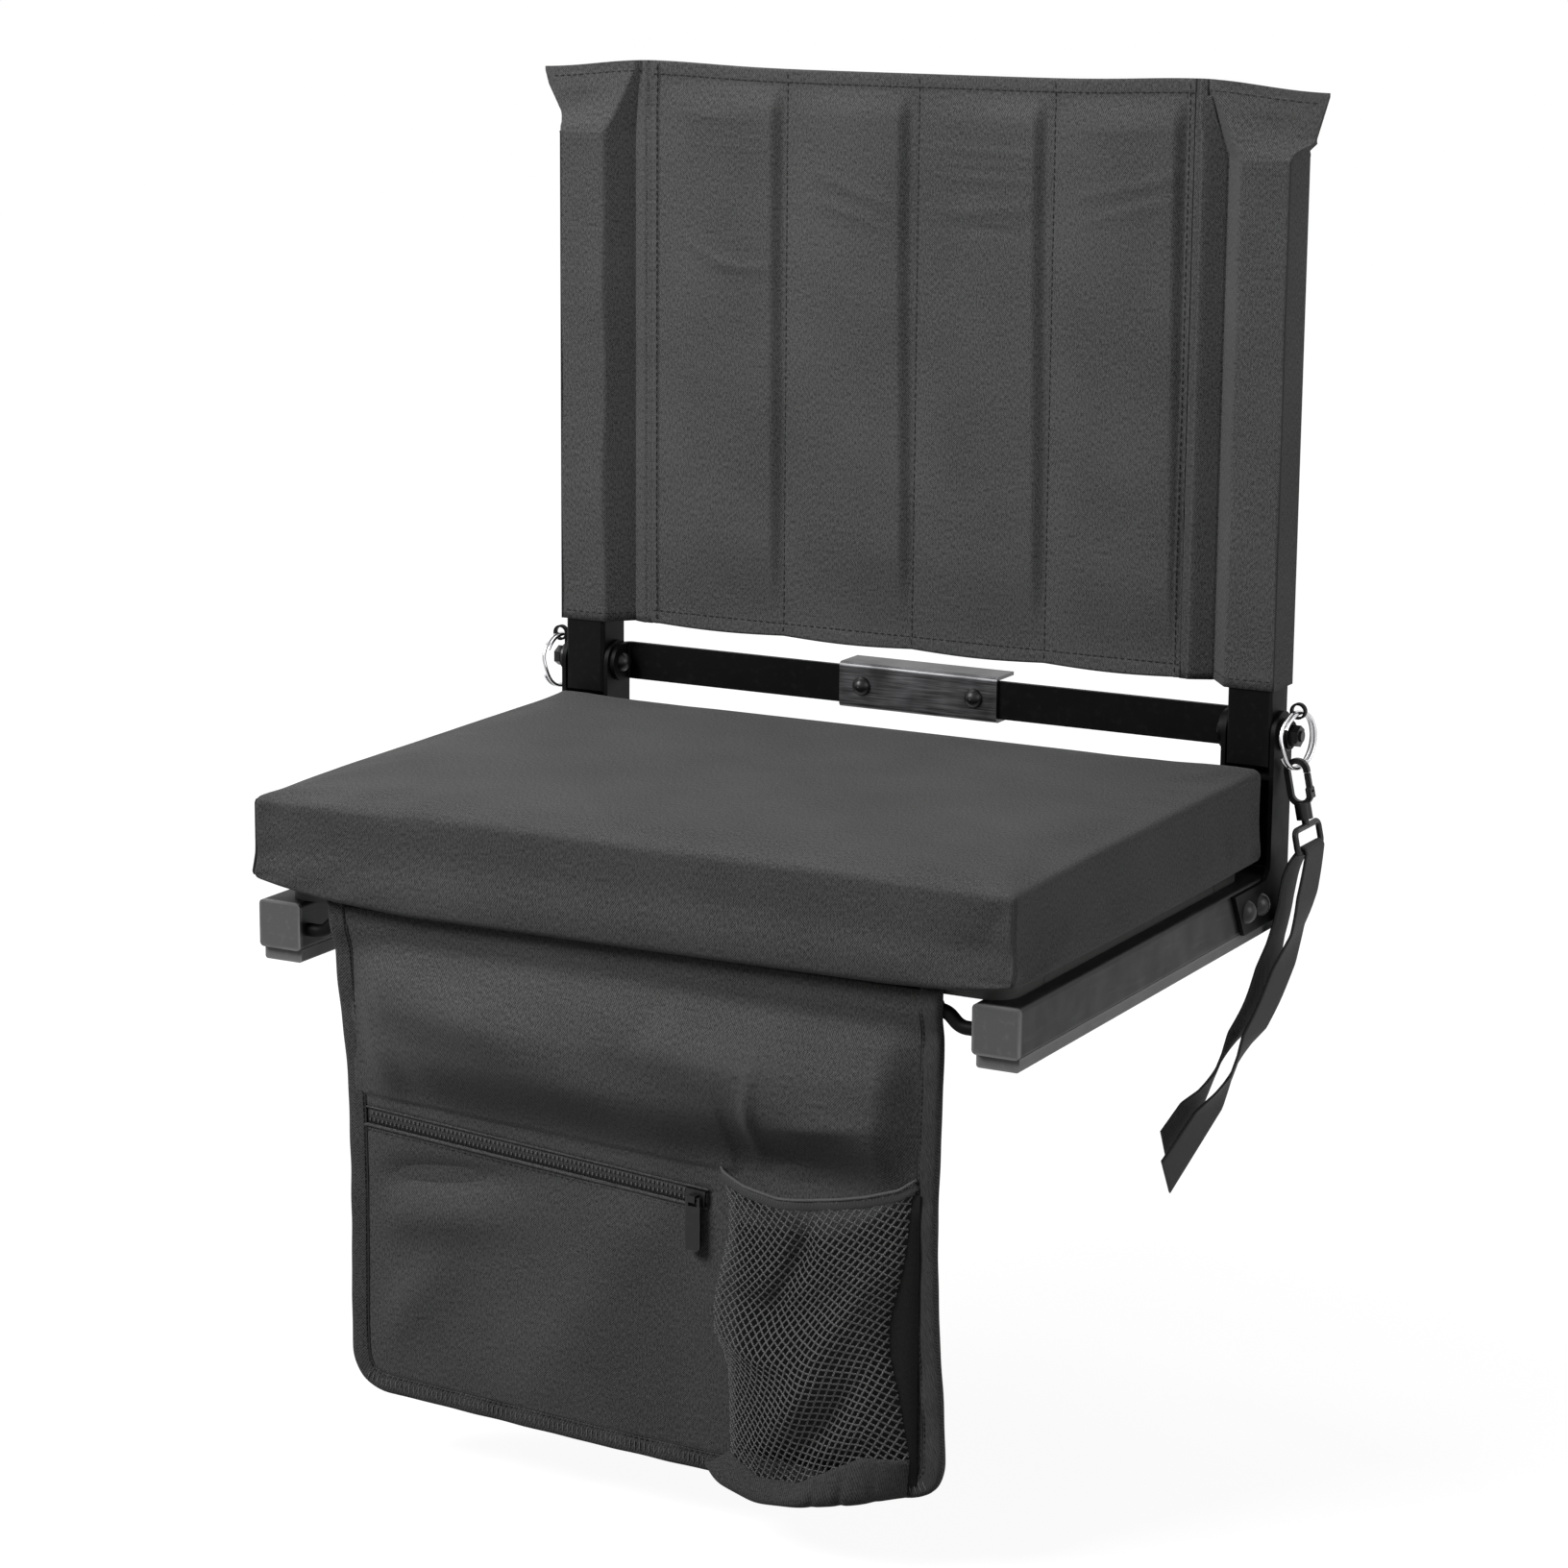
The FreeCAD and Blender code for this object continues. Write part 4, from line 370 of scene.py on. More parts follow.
@dataclass(frozen=True)
class WovenCloth:
    """Polyester oxford cloth: a plain weave of two dark threads, dull, with a faint sheen and slubs.

    The eye sees a fine salt-and-pepper grain with short upright streaks. The real threads are about
    0.4 mm apart; the weave is drawn at 1.2 mm or more so that it shows in the render.
    """

    name: str
    dark: str
    light: str
    thread: float = 1.2
    slub: float = 0.42
    clump: float = 0.85
    streak: float = 2.6
    fade: float = 71.43
    weave_share: float = 0.16
    fade_share: float = 0.14
    slub_roughness: float = 0.6
    slub_span: Span = (0.2, 0.8)
    tones: Span = (0.44, 0.70)
    rough: Span = (0.72, 0.90)
    relief: Span = (0.2, 0.1)
    sheen: Span = (0.03, 0.45)
    gloss: float = 0.12

    def material(self) -> bpy.types.Material:
        """Build the finish on the piece's own cloth coordinates."""
        material, tree = new_material(self.name)
        place = add(tree, "UVMap", uv_map=CLOTH_UV).outputs[0]
        axes = add(tree, "SeparateXYZ", {0: place})
        turn = math.tau / (self.thread * MM)
        waves = []
        for axis in (0, 1):
            phase = add(tree, "Math", {0: axes.outputs[axis], 1: turn}, operation="MULTIPLY")
            waves.append(add(tree, "Math", {0: phase.outputs[0]}, operation="SINE").outputs[0])
        over = add(tree, "Math", {0: waves[0], 1: waves[1]}, operation="MULTIPLY").outputs[0]
        streaks = add(tree, "Mapping", {"Vector": place, "Scale": (1, 1 / self.streak, 1)})
        slubs = add(tree, "TexNoise", {
            "Vector": streaks.outputs[0], "Scale": 1 / (self.slub * MM), "Detail": 1.0,
            "Roughness": self.slub_roughness,
        }).outputs["Fac"]
        clumps = add(tree, "TexNoise", {
            "Vector": streaks.outputs[0], "Scale": 1 / (self.clump * MM), "Detail": 2.0,
        }).outputs["Fac"]
        slubs = add(tree, "Math", {0: slubs, 1: clumps}, operation="ADD").outputs[0]
        slubs = add(tree, "Math", {0: slubs, 1: 0.5}, operation="MULTIPLY").outputs[0]
        fade = add(tree, "TexNoise", {"Vector": place, "Scale": 1 / (self.fade * MM), "Detail": 3.0})
        woven = {0: over, 1: self.weave_share, 2: slubs}
        grain = add(tree, "Math", woven, operation="MULTIPLY_ADD").outputs[0]
        faded = {0: fade.outputs["Fac"], 1: self.fade_share, 2: grain}
        mixed = add(tree, "Math", faded, operation="MULTIPLY_ADD").outputs[0]
        tone = add(tree, "MapRange", dict(enumerate((mixed, *self.tones)))).outputs[0]
        rough = add(tree, "MapRange", dict(enumerate((slubs, *self.slub_span, *self.rough)))).outputs[0]
        surface(tree, tone, (self.dark, self.light), over, self.relief, {
            "Roughness": rough, "Sheen Weight": self.sheen[0], "Sheen Roughness": self.sheen[1],
            "Specular IOR Level": self.gloss,
        })
        return material


@dataclass(frozen=True)
class Thread:
    """Twisted polyester thread, webbing, tape or net: dark, dull, with a rib across its length.

    The ribs are drawn at their real size on webbing and coarser on thread.
    """

    name: str
    dark: str
    light: str
    rib: float
    slant: float = 0.0
    dust: float = 1.111
    rib_share: float = 0.22
    tones: Span = (0.25, 0.85)
    rough: Span = (0.6, 0.8)
    relief: Span = (0.4, 0.2)
    gloss: float = 0.35

    def material(self) -> bpy.types.Material:
        """Build the finish on the piece's own cloth coordinates, ribs along the second one."""
        material, tree = new_material(self.name)
        place = add(tree, "UVMap", uv_map=CLOTH_UV).outputs[0]
        axes = add(tree, "SeparateXYZ", {0: place})
        slanted = {0: axes.outputs[0], 1: self.slant, 2: axes.outputs[1]}
        tilt = add(tree, "Math", slanted, operation="MULTIPLY_ADD").outputs[0]
        phase = add(tree, "Math", {0: tilt, 1: math.tau / (self.rib * MM)}, operation="MULTIPLY").outputs[0]
        wave = add(tree, "Math", {0: phase}, operation="SINE").outputs[0]
        cloud = {"Vector": place, "Scale": 1 / (self.dust * MM), "Detail": 2.0}
        dust = add(tree, "TexNoise", cloud).outputs["Fac"]
        mixed = add(tree, "Math", {0: wave, 1: self.rib_share, 2: dust}, operation="MULTIPLY_ADD").outputs[0]
        tone = add(tree, "MapRange", dict(enumerate((mixed, *self.tones)))).outputs[0]
        rough = add(tree, "MapRange", {0: dust, 3: self.rough[0], 4: self.rough[1]}).outputs[0]
        surface(tree, tone, (self.dark, self.light), wave, self.relief, {
            "Roughness": rough, "Specular IOR Level": self.gloss,
        })
        return material


@dataclass(frozen=True)
class Coat:
    """A painted or moulded skin with orange peel, faint scuffs, and edges paler in patches: partly rubbed
    wear, partly painted highlight.

    Powder coat has a soft pebbled gloss, moulded nylon a flatter and paler one. The pebbles are
    drawn at 1.2 mm, coarser than the real 0.4 mm, so that they show.
    """

    name: str
    base: str
    worn_and_highlight: str
    roughness: float
    peel: float = 1.2
    relief: Span = (0.25, 0.03)
    edge: float = 1.6
    edge_share: float = 0.8
    gloss: float = 0.35
    patch: float = 16.67
    patch_span: Span = (0.3, 0.6)
    scuff: Triple = (3.846, 33.33, 3.846)
    scuff_span: Span = (0.55, 0.9)
    scuff_share: float = 0.35
    rough_span: Span = (0.2, 0.8)
    smoother: float = 0.06
    rougher: float = 0.08

    def material(self, node: str) -> bpy.types.Material:
        """Build the finish for one CAD node, whose box gives where its long edges are.

        An edge is where two of the three distances to the box's faces are small.

        Args:
            node: the CAD node.

        Returns:
            The material.
        """
        low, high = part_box(node)
        material, tree = new_material(f"{self.name}_{node}")
        place = add(tree, "TexCoord").outputs["Object"]
        middle, half = (low + high) / 2, (high - low) / 2
        centre = add(tree, "VectorMath", {0: place, 1: middle}, operation="SUBTRACT").outputs[0]
        size = add(tree, "VectorMath", {0: centre}, operation="ABSOLUTE").outputs[0]
        inset = add(tree, "VectorMath", {0: half, 1: size}, operation="SUBTRACT").outputs[0]
        x, y, z = add(tree, "SeparateXYZ", {0: inset}).outputs
        least = add(tree, "Math", {0: x, 1: y}, operation="MINIMUM").outputs[0]
        most = add(tree, "Math", {0: x, 1: y}, operation="MAXIMUM").outputs[0]
        other = add(tree, "Math", {0: most, 1: z}, operation="MINIMUM").outputs[0]
        second = add(tree, "Math", {0: least, 1: other}, operation="MAXIMUM").outputs[0]
        # Partly painted highlight: the long edges turn paler in patches, as rubbed wear and as the gleam
        # that a rounded edge catches.
        near = add(tree, "MapRange", {0: second, 1: 0.0, 2: self.edge * MM, 3: 1.0, 4: 0.0}).outputs[0]
        cloud = {"Vector": place, "Scale": 1 / (self.patch * MM), "Detail": 4.0}
        patch = add(tree, "TexNoise", cloud).outputs["Fac"]
        edge_patch_inputs = (patch, *self.patch_span, 0.0, self.edge_share)
        edge_patches = add(tree, "MapRange", dict(enumerate(edge_patch_inputs))).outputs[0]
        edge_wear_and_highlight = add(tree, "Math", {0: near, 1: edge_patches}, operation="MULTIPLY").outputs[0]
        long = add(tree, "Mapping", {"Vector": place, "Scale": [1 / (size * MM) for size in self.scuff]})
        scuff = add(tree, "TexNoise", {"Vector": long.outputs[0], "Scale": 1.0, "Detail": 3.0})
        hazing = (scuff.outputs["Fac"], *self.scuff_span, 0.0, self.scuff_share)
        haze = add(tree, "MapRange", dict(enumerate(hazing))).outputs[0]
        shade = add(tree, "Math", {0: edge_wear_and_highlight, 1: haze}, operation="MAXIMUM").outputs[0]
        span = (self.roughness - self.smoother, self.roughness + self.rougher)
        rough = add(tree, "MapRange", dict(enumerate((patch, *self.rough_span, *span)))).outputs[0]
        pebble = add(tree, "TexNoise", {"Vector": place, "Scale": 1 / (self.peel * MM), "Detail": 1.0})
        surface(tree, shade, (self.base, self.worn_and_highlight), pebble.outputs["Fac"], self.relief, {
            "Roughness": rough, "Specular IOR Level": self.gloss,
        })
        return material


@dataclass(frozen=True)
class DrawnMetal:
    """Bare or darkened metal with fine lines along its length from brushing or drawing.

    The eye sees a streaky gleam. The lines are drawn about a millimetre wide, coarser than real ones,
    so that they show; their size along each axis is in millimetres.
    """

    name: str
    base: str
    bright: str
    roughness: float
    line: Triple
    depth: float = 0.02
    strength: float = 0.3
    blotch: float = 22.22
    tones: Span = (0.15, 0.4)
    rough_span: Span = (0.2, 0.8)
    smoother: float = 0.08
    rougher: float = 0.1

    def material(self, node: str) -> bpy.types.Material:
        """Build the finish for a CAD node, with lines along the axis of the longest size."""
        material, tree = new_material(f"{self.name}_{node}")
        place = add(tree, "TexCoord").outputs["Object"]
        drawn = add(tree, "Mapping", {"Vector": place, "Scale": [1 / (size * MM) for size in self.line]})
        streaks = {"Vector": drawn.outputs[0], "Scale": 1.0, "Detail": 4.0}
        lines = add(tree, "TexNoise", streaks).outputs["Fac"]
        cloud = {"Vector": place, "Scale": 1 / (self.blotch * MM), "Detail": 2.0}
        blotch = add(tree, "TexNoise", cloud).outputs["Fac"]
        mixed = add(tree, "Math", {0: lines, 1: blotch}, operation="MULTIPLY").outputs[0]
        tone = add(tree, "MapRange", dict(enumerate((mixed, *self.tones)))).outputs[0]
        span = (self.roughness - self.smoother, self.roughness + self.rougher)
        rough = add(tree, "MapRange", dict(enumerate((lines, *self.rough_span, *span)))).outputs[0]
        relief = (self.strength, self.depth)
        surface(tree, tone, (self.base, self.bright), lines, relief, {"Roughness": rough, "Metallic": 1.0})
        return material


@dataclass(frozen=True)
class ShadeDarkPlywood:
    """Birch plywood drawn near-black as painted shade for the band under the cushion: pale and dark plies
    show on the edge, grain on the face.
    """

    name: str = "black_plywood_painted_shade"
    # Painted shade: the near-black tones stand for the shade under the cushion.
    dark: str = "#0e0e0e"
    light: str = "#1f1d1b"
    ply: float = 1.5
    ply_share: float = 0.2
    grain: Triple = (83.33, 4.167, 16.67)
    tones: Span = (0.3, 0.8)
    rough: Span = (0.55, 0.8)
    relief: Span = (0.3, 0.1)

    def material(self, node: str) -> bpy.types.Material:
        """Build the finish for the seat board: plies are bands of height, grain runs along X."""
        material, tree = new_material(f"{self.name}_{node}")
        place = add(tree, "TexCoord").outputs["Object"]
        axes = add(tree, "SeparateXYZ", {0: place})
        turn = math.pi / (self.ply * MM)
        phase = add(tree, "Math", {0: axes.outputs[2], 1: turn}, operation="MULTIPLY").outputs[0]
        plies = add(tree, "Math", {0: phase}, operation="SINE").outputs[0]
        long = add(tree, "Mapping", {"Vector": place, "Scale": [1 / (size * MM) for size in self.grain]})
        streaks = {"Vector": long.outputs[0], "Scale": 1.0, "Detail": 5.0}
        grain = add(tree, "TexNoise", streaks).outputs["Fac"]
        banded = {0: plies, 1: self.ply_share, 2: grain}
        mixed = add(tree, "Math", banded, operation="MULTIPLY_ADD").outputs[0]
        tone = add(tree, "MapRange", dict(enumerate((mixed, *self.tones)))).outputs[0]
        rough = add(tree, "MapRange", {0: grain, 3: self.rough[0], 4: self.rough[1]}).outputs[0]
        surface(tree, tone, (self.dark, self.light), grain, self.relief, {"Roughness": rough})
        return material


CUSHION_CLOTH = WovenCloth("polyester_oxford_cushion", "#202020", "#525252")
SLING_CLOTH = WovenCloth("polyester_oxford_sling", "#252525", "#5c5c5c")
BAG_CLOTH = WovenCloth("polyester_oxford_bag", "#222222", "#565656")
BASE_CLOTH = WovenCloth("polyester_oxford_pocket_base", "#1c1c1c", "#444444")
TAPE = Thread("polyester_zipper_tape", "#181818", "#363636", 1.6)
BINDING = WovenCloth("polyester_binding_tape", "#1c1c1c", "#4c4c4c", thread=1.6)
# Painted shade: near-black cloth for the sheet behind the net, where the pocket's inside would be in shade.
SHADE_LINING = WovenCloth("polyester_oxford_pocket_lining", "#0a0a0a", "#202020")
OVERLOCK = Thread("polyester_overlock_thread", "#484848", "#787878", 0.8, 0.5)
HEM = Thread("polyester_rolled_hem", "#323232", "#565656", 1.2)
SEWING = Thread("polyester_sewing_thread", "#0a0a0a", "#1c1c1c", 0.8, 0.5)
WEBBING = Thread("polypropylene_webbing", "#0b0b0b", "#202020", 2.2, 0.7)
NET = Thread("polyester_net", "#262626", "#6e6e6e", 1.4, 0.5)
COIL = Thread("nylon_zipper_coil", "#3a3a3a", "#6e6e6e", 1.2)
# The paler edge colour of each coat below is partly wear, partly painted highlight.
FRAME_COAT = Coat("black_powder_coat", "#050506", "#242425", 0.5, gloss=0.08)
RAIL_COAT = Coat("grey_black_powder_coat", "#101011", "#464647", 0.5, gloss=0.2)
CAP_PLASTIC = Coat("grey_moulded_nylon", "#4a4a4b", "#787878", 0.5)
FOOT_PLASTIC = Coat("grey_foot_plastic", "#5e5e5f", "#868686", 0.55, edge_share=0.5)
BOLT_BLACK = Coat("black_oxide_steel", "#0c0c0d", "#222222", 0.34, edge=0.6, edge_share=0.4, gloss=0.3)
HOOK_ENAMEL = Coat("black_enamelled_zinc", "#0e0e0f", "#3c3c40", 0.4, edge=0.7, gloss=0.3)
CHANNEL_STEEL = DrawnMetal("dark_brushed_steel", "#3c3c3d", "#6e6e70", 0.42, (25.0, 0.6667, 0.6667))
RING_STEEL = DrawnMetal("bright_nickel_wire", "#b9b9bb", "#e6e6e8", 0.18, (1.111, 8.333, 8.333), 0.01)


@dataclass(frozen=True)
class Hardware:
    """The rigid CAD nodes and the finish of each."""

    finishes: tuple[tuple[Coat | DrawnMetal | ShadeDarkPlywood, tuple[str, ...]], ...] = (
        (FRAME_COAT, (
            "left_hinge_bracket", "right_hinge_bracket", "rear_stretcher", "bag_rod", "brace_bar_left",
            "brace_bar_right", "left_upright", "right_upright", "left_ring_lug", "right_ring_lug",
        )),
        (RAIL_COAT, ("left_seat_rail", "right_seat_rail")),
        (CAP_PLASTIC, ("left_front_cap", "right_front_cap", "rail_rear_caps", "upright_caps")),
        (FOOT_PLASTIC, ("left_foot_strip", "right_foot_strip")),
        (BOLT_BLACK, (
            "rail_bolts", "rail_nuts", "left_pivot_bolt", "right_pivot_bolt", "pivot_nuts", "pivot_washers",
            "brace_bolts", "brace_nuts", "board_screws",
        )),
        (HOOK_ENAMEL, ("hook_body", "hook_gate", "gate_pin", "swivel_eye", "zipper_slider", "zipper_pull")),
        (RING_STEEL, ("left_split_ring", "right_split_ring")),
        (CHANNEL_STEEL, ("brace_channel",)),
        (ShadeDarkPlywood(), ("seat_board",)),
    )

    def dress(self) -> None:
        """Give every rigid node its finish."""
        for finish, nodes in self.finishes:
            for node in nodes:
                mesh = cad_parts[node].data
                mesh.materials.clear()
                mesh.materials.append(finish.material(node))
                log.info("dressed %s", node)


def place(piece: bpy.types.Object, body: Body, slot: str, *nodes: str) -> bpy.types.Object:
    """Let a piece ride on a body and stand for CAD nodes."""
    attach(piece, body.value)
    if nodes:
        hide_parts(*nodes)
    log.info("made %s", piece.name)
    return piece


def make(
    skin: Skin, name: str, finish: WovenCloth | Thread, body: Body, slot: str, *nodes: str,
) -> bpy.types.Object:
    """Turn a skin into a finished piece and place it."""
    return place(skin.object(name, finish.material()), body, slot, *nodes)


# Seat cushion


@dataclass(frozen=True)
class Cushion:
    """The boxed seat cushion: foam in a sewn cover on the seat board, its front lip hanging low."""

    half_width: float = 217.0
    front: float = -7.5
    back: float = 301.0
    bottom: float = 41.6
    top: float = 90.0
    edge_radius: float = 4.5
    step: float = 5.0
    swell: float = 2.4
    pressure: float = 4.0
    frames: int = 20
    crown_height: float = 2.8
    corner_dip: float = 2.4
    back_rise: float = 1.4
    cord: float = 0.55
    edge_lines: tuple[float, ...] = (0.0, 0.35, 0.7)
    held_height: float = 1.0
    dip_reach: Span = (0.2, 0.3)
    back_span: Span = (-0.6, 1.0)
    top_span: Span = (0.1, 1.0)
    lip_deep: float = 12.0
    lip_span: Span = (34.0, -2.0)
    pinch_span: Span = (9.0, 1.0)
    lip: Pairs = (
        (-217, 3.0), (-200, -0.5), (-168, -5.0), (-123, -7.4), (33, -6.6), (150, -5.6), (186, -4.0),
        (206, -0.6), (217, 2.0),
    )
    pinches: tuple[Crease, ...] = (
        Crease(196, 60, -8, 18, 4.0, -2.4),
        Crease(206, 75, 62, 12, 4.0, -1.4),
        Crease(-203, 78, -58, 14, 5.0, -2.0),
        Crease(-206, 58, 24, 12, 4.0, -1.6),
        Crease(-150, 82, -4, 60, 5.0, 0.8),
    )

    def lines(self, low: float, high: float) -> Array:
        """Grid lines from low to high: even steps, with two more close to each end."""
        inner = np.linspace(low + self.edge_radius, high - self.edge_radius, int((high - low) / self.step))
        near = np.array(self.edge_lines) * self.edge_radius
        return np.concatenate([low + near, inner, high - near[::-1]])

    def box(self) -> Skin:
        """The cover before it is filled: top, bottom and a wall, all on shared lines.

        Returns:
            A skin of three grids that weld into one closed box.
        """
        x = self.lines(-self.half_width, self.half_width)
        y = self.lines(self.front, self.back)
        z = self.lines(self.bottom, self.top)
        skin = Skin()
        across, deep = np.meshgrid(x, y, indexing="ij")
        for height, flip in ((self.top, False), (self.bottom, True)):
            face = np.stack([across, deep, np.full_like(across, height)], -1)
            skin.grid(face, flip=flip, uv=face[..., :2])
        rim = np.concatenate([
            np.stack([x[:-1], np.full(len(x) - 1, self.front)], -1),
            np.stack([np.full(len(y) - 1, self.half_width), y[:-1]], -1),
            np.stack([x[:0:-1], np.full(len(x) - 1, self.back)], -1),
            np.stack([np.full(len(y) - 1, -self.half_width), y[:0:-1]], -1),
        ])
        wall = np.concatenate([
            np.broadcast_to(rim[:, None], (len(rim), len(z), 2)),
            np.broadcast_to(z[None, :, None], (len(rim), len(z), 1)),
        ], -1)
        skin.grid(wall, closed=True)
        return skin

    def fill(self, piece: bpy.types.Object) -> None:
        """Blow the cover up by cloth simulation, held at its bottom, each point's way capped.

        Args:
            piece: the closed cover.
        """
        rest = vertices(piece)
        held = piece.vertex_groups.new(name="held")
        low = np.flatnonzero(rest[:, 2] < (self.bottom + self.held_height) * MM)
        held.add(low.tolist(), 1.0, "REPLACE")
        cloth = piece.modifiers.new("fill", "CLOTH")
        cloth.settings.use_pressure = True
        cloth.settings.uniform_pressure_force = self.pressure
        cloth.settings.effector_weights.gravity = 0.0
        cloth.settings.vertex_group_mass = held.name
        cloth.point_cache.frame_start = 1
        cloth.point_cache.frame_end = self.frames
        scene = bpy.context.scene
        for number in range(1, self.frames + 1):
            scene.frame_set(number)
        graph = bpy.context.evaluated_depsgraph_get()
        moved = vertices(piece.evaluated_get(graph)) - rest
        way = np.linalg.norm(moved, axis=1, keepdims=True)
        capped = moved * np.minimum(1, self.swell * MM / np.maximum(way, 1e-9))
        piece.modifiers.remove(cloth)
        piece.vertex_groups.remove(held)
        scene.frame_set(1)
        move(piece, rest + capped)

    def crown(self, points: Array) -> Array:
        """Shape the cover: rounded edges, a crowned top, low front corners, a high back.

        A point within the edge radius of two faces is pulled onto a round. The top rises as the
        product of two quarter-power bells and dips as a bell at each front corner.

        Args:
            points: cover points in millimetres.

        Returns:
            The moved points.
        """
        middle = np.array([0, (self.front + self.back) / 2, (self.bottom + self.top) / 2])
        half = np.array([self.half_width, (self.back - self.front) / 2, (self.top - self.bottom) / 2])
        local = points - middle
        core = np.clip(local, -(half - self.edge_radius), half - self.edge_radius)
        over = local - core
        size = np.linalg.norm(over, axis=1, keepdims=True)
        round_part = core + over / np.maximum(size, 1e-9) * self.edge_radius
        local = np.where(size > self.edge_radius, round_part, local)
        share = np.clip(local / half, -1, 1)
        bell = (1 - share[:, 0] ** 4) * (1 - share[:, 1] ** 4)
        dip = hump(np.abs(share[:, 0]), 1, self.dip_reach[0]) * hump(share[:, 1], -1, self.dip_reach[1])
        rise = self.crown_height * bell - self.corner_dip * dip
        rise = rise + self.back_rise * smooth(*self.back_span, share[:, 1])
        local[:, 2] += smooth(*self.top_span, share[:, 2]) * rise
        return local + middle

    def hang(self, points: Array) -> Array:
        """Let the front lip hang, its corners lifted, and pinch the cloth beside the corner seams."""
        x, y, z = points.T
        lip = np.array(self.lip)
        near_front = hump(np.maximum(y, self.front), self.front, self.lip_deep)
        low = smooth(*self.lip_span, z - self.bottom) * near_front
        dent = sum(pinch.lift(x, z) for pinch in self.pinches) * smooth(*self.pinch_span, y - self.front)
        return np.stack([x, y - dent, z + low * np.interp(x, lip[:, 0], lip[:, 1])], -1)

    def build(self) -> None:
        """Make, fill, sew and dress the cushion."""
        piece = self.box().object("seat_cushion", CUSHION_CLOTH.material())
        flat = vertices(piece) / MM
        move(piece, self.crown(flat) * MM)
        self.fill(piece)
        final = self.hang(vertices(piece) / MM)
        move(piece, final * MM)
        finer = piece.modifiers.new("finer", "SUBSURF")
        finer.levels = 1
        finer.render_levels = 1
        place(piece, Body.SEAT, "cushion_cloth", "seat_cover", "seat_foam")
        # Partly painted shade: a dark cord down each front corner stands for the seam and the shadow in its
        # gap.
        seam_and_shade_cords = Skin()
        for side in Side:
            beside = np.isclose(flat[:, 0], side.value * self.half_width)
            corner = beside & np.isclose(flat[:, 1], self.front)
            line = final[corner][np.argsort(flat[corner, 2])]
            seam_and_shade_cords.tube(line, self.cord, 8)
        make(seam_and_shade_cords, "cushion_corner_seams_and_shade", SEWING, Body.SEAT, "cushion_cloth")


def vertices(piece: bpy.types.Object) -> Array:
    """A mesh object's vertex places, one per row."""
    places = np.empty(len(piece.data.vertices) * 3, np.float32)
    piece.data.vertices.foreach_get("co", places)
    return places.reshape(-1, 3).astype(float)


def move(piece: bpy.types.Object, points: Array) -> None:
    """Put a mesh object's vertices in new places."""
    piece.data.vertices.foreach_set("co", points.astype(np.float32).ravel())
    piece.data.update()


# Back sling


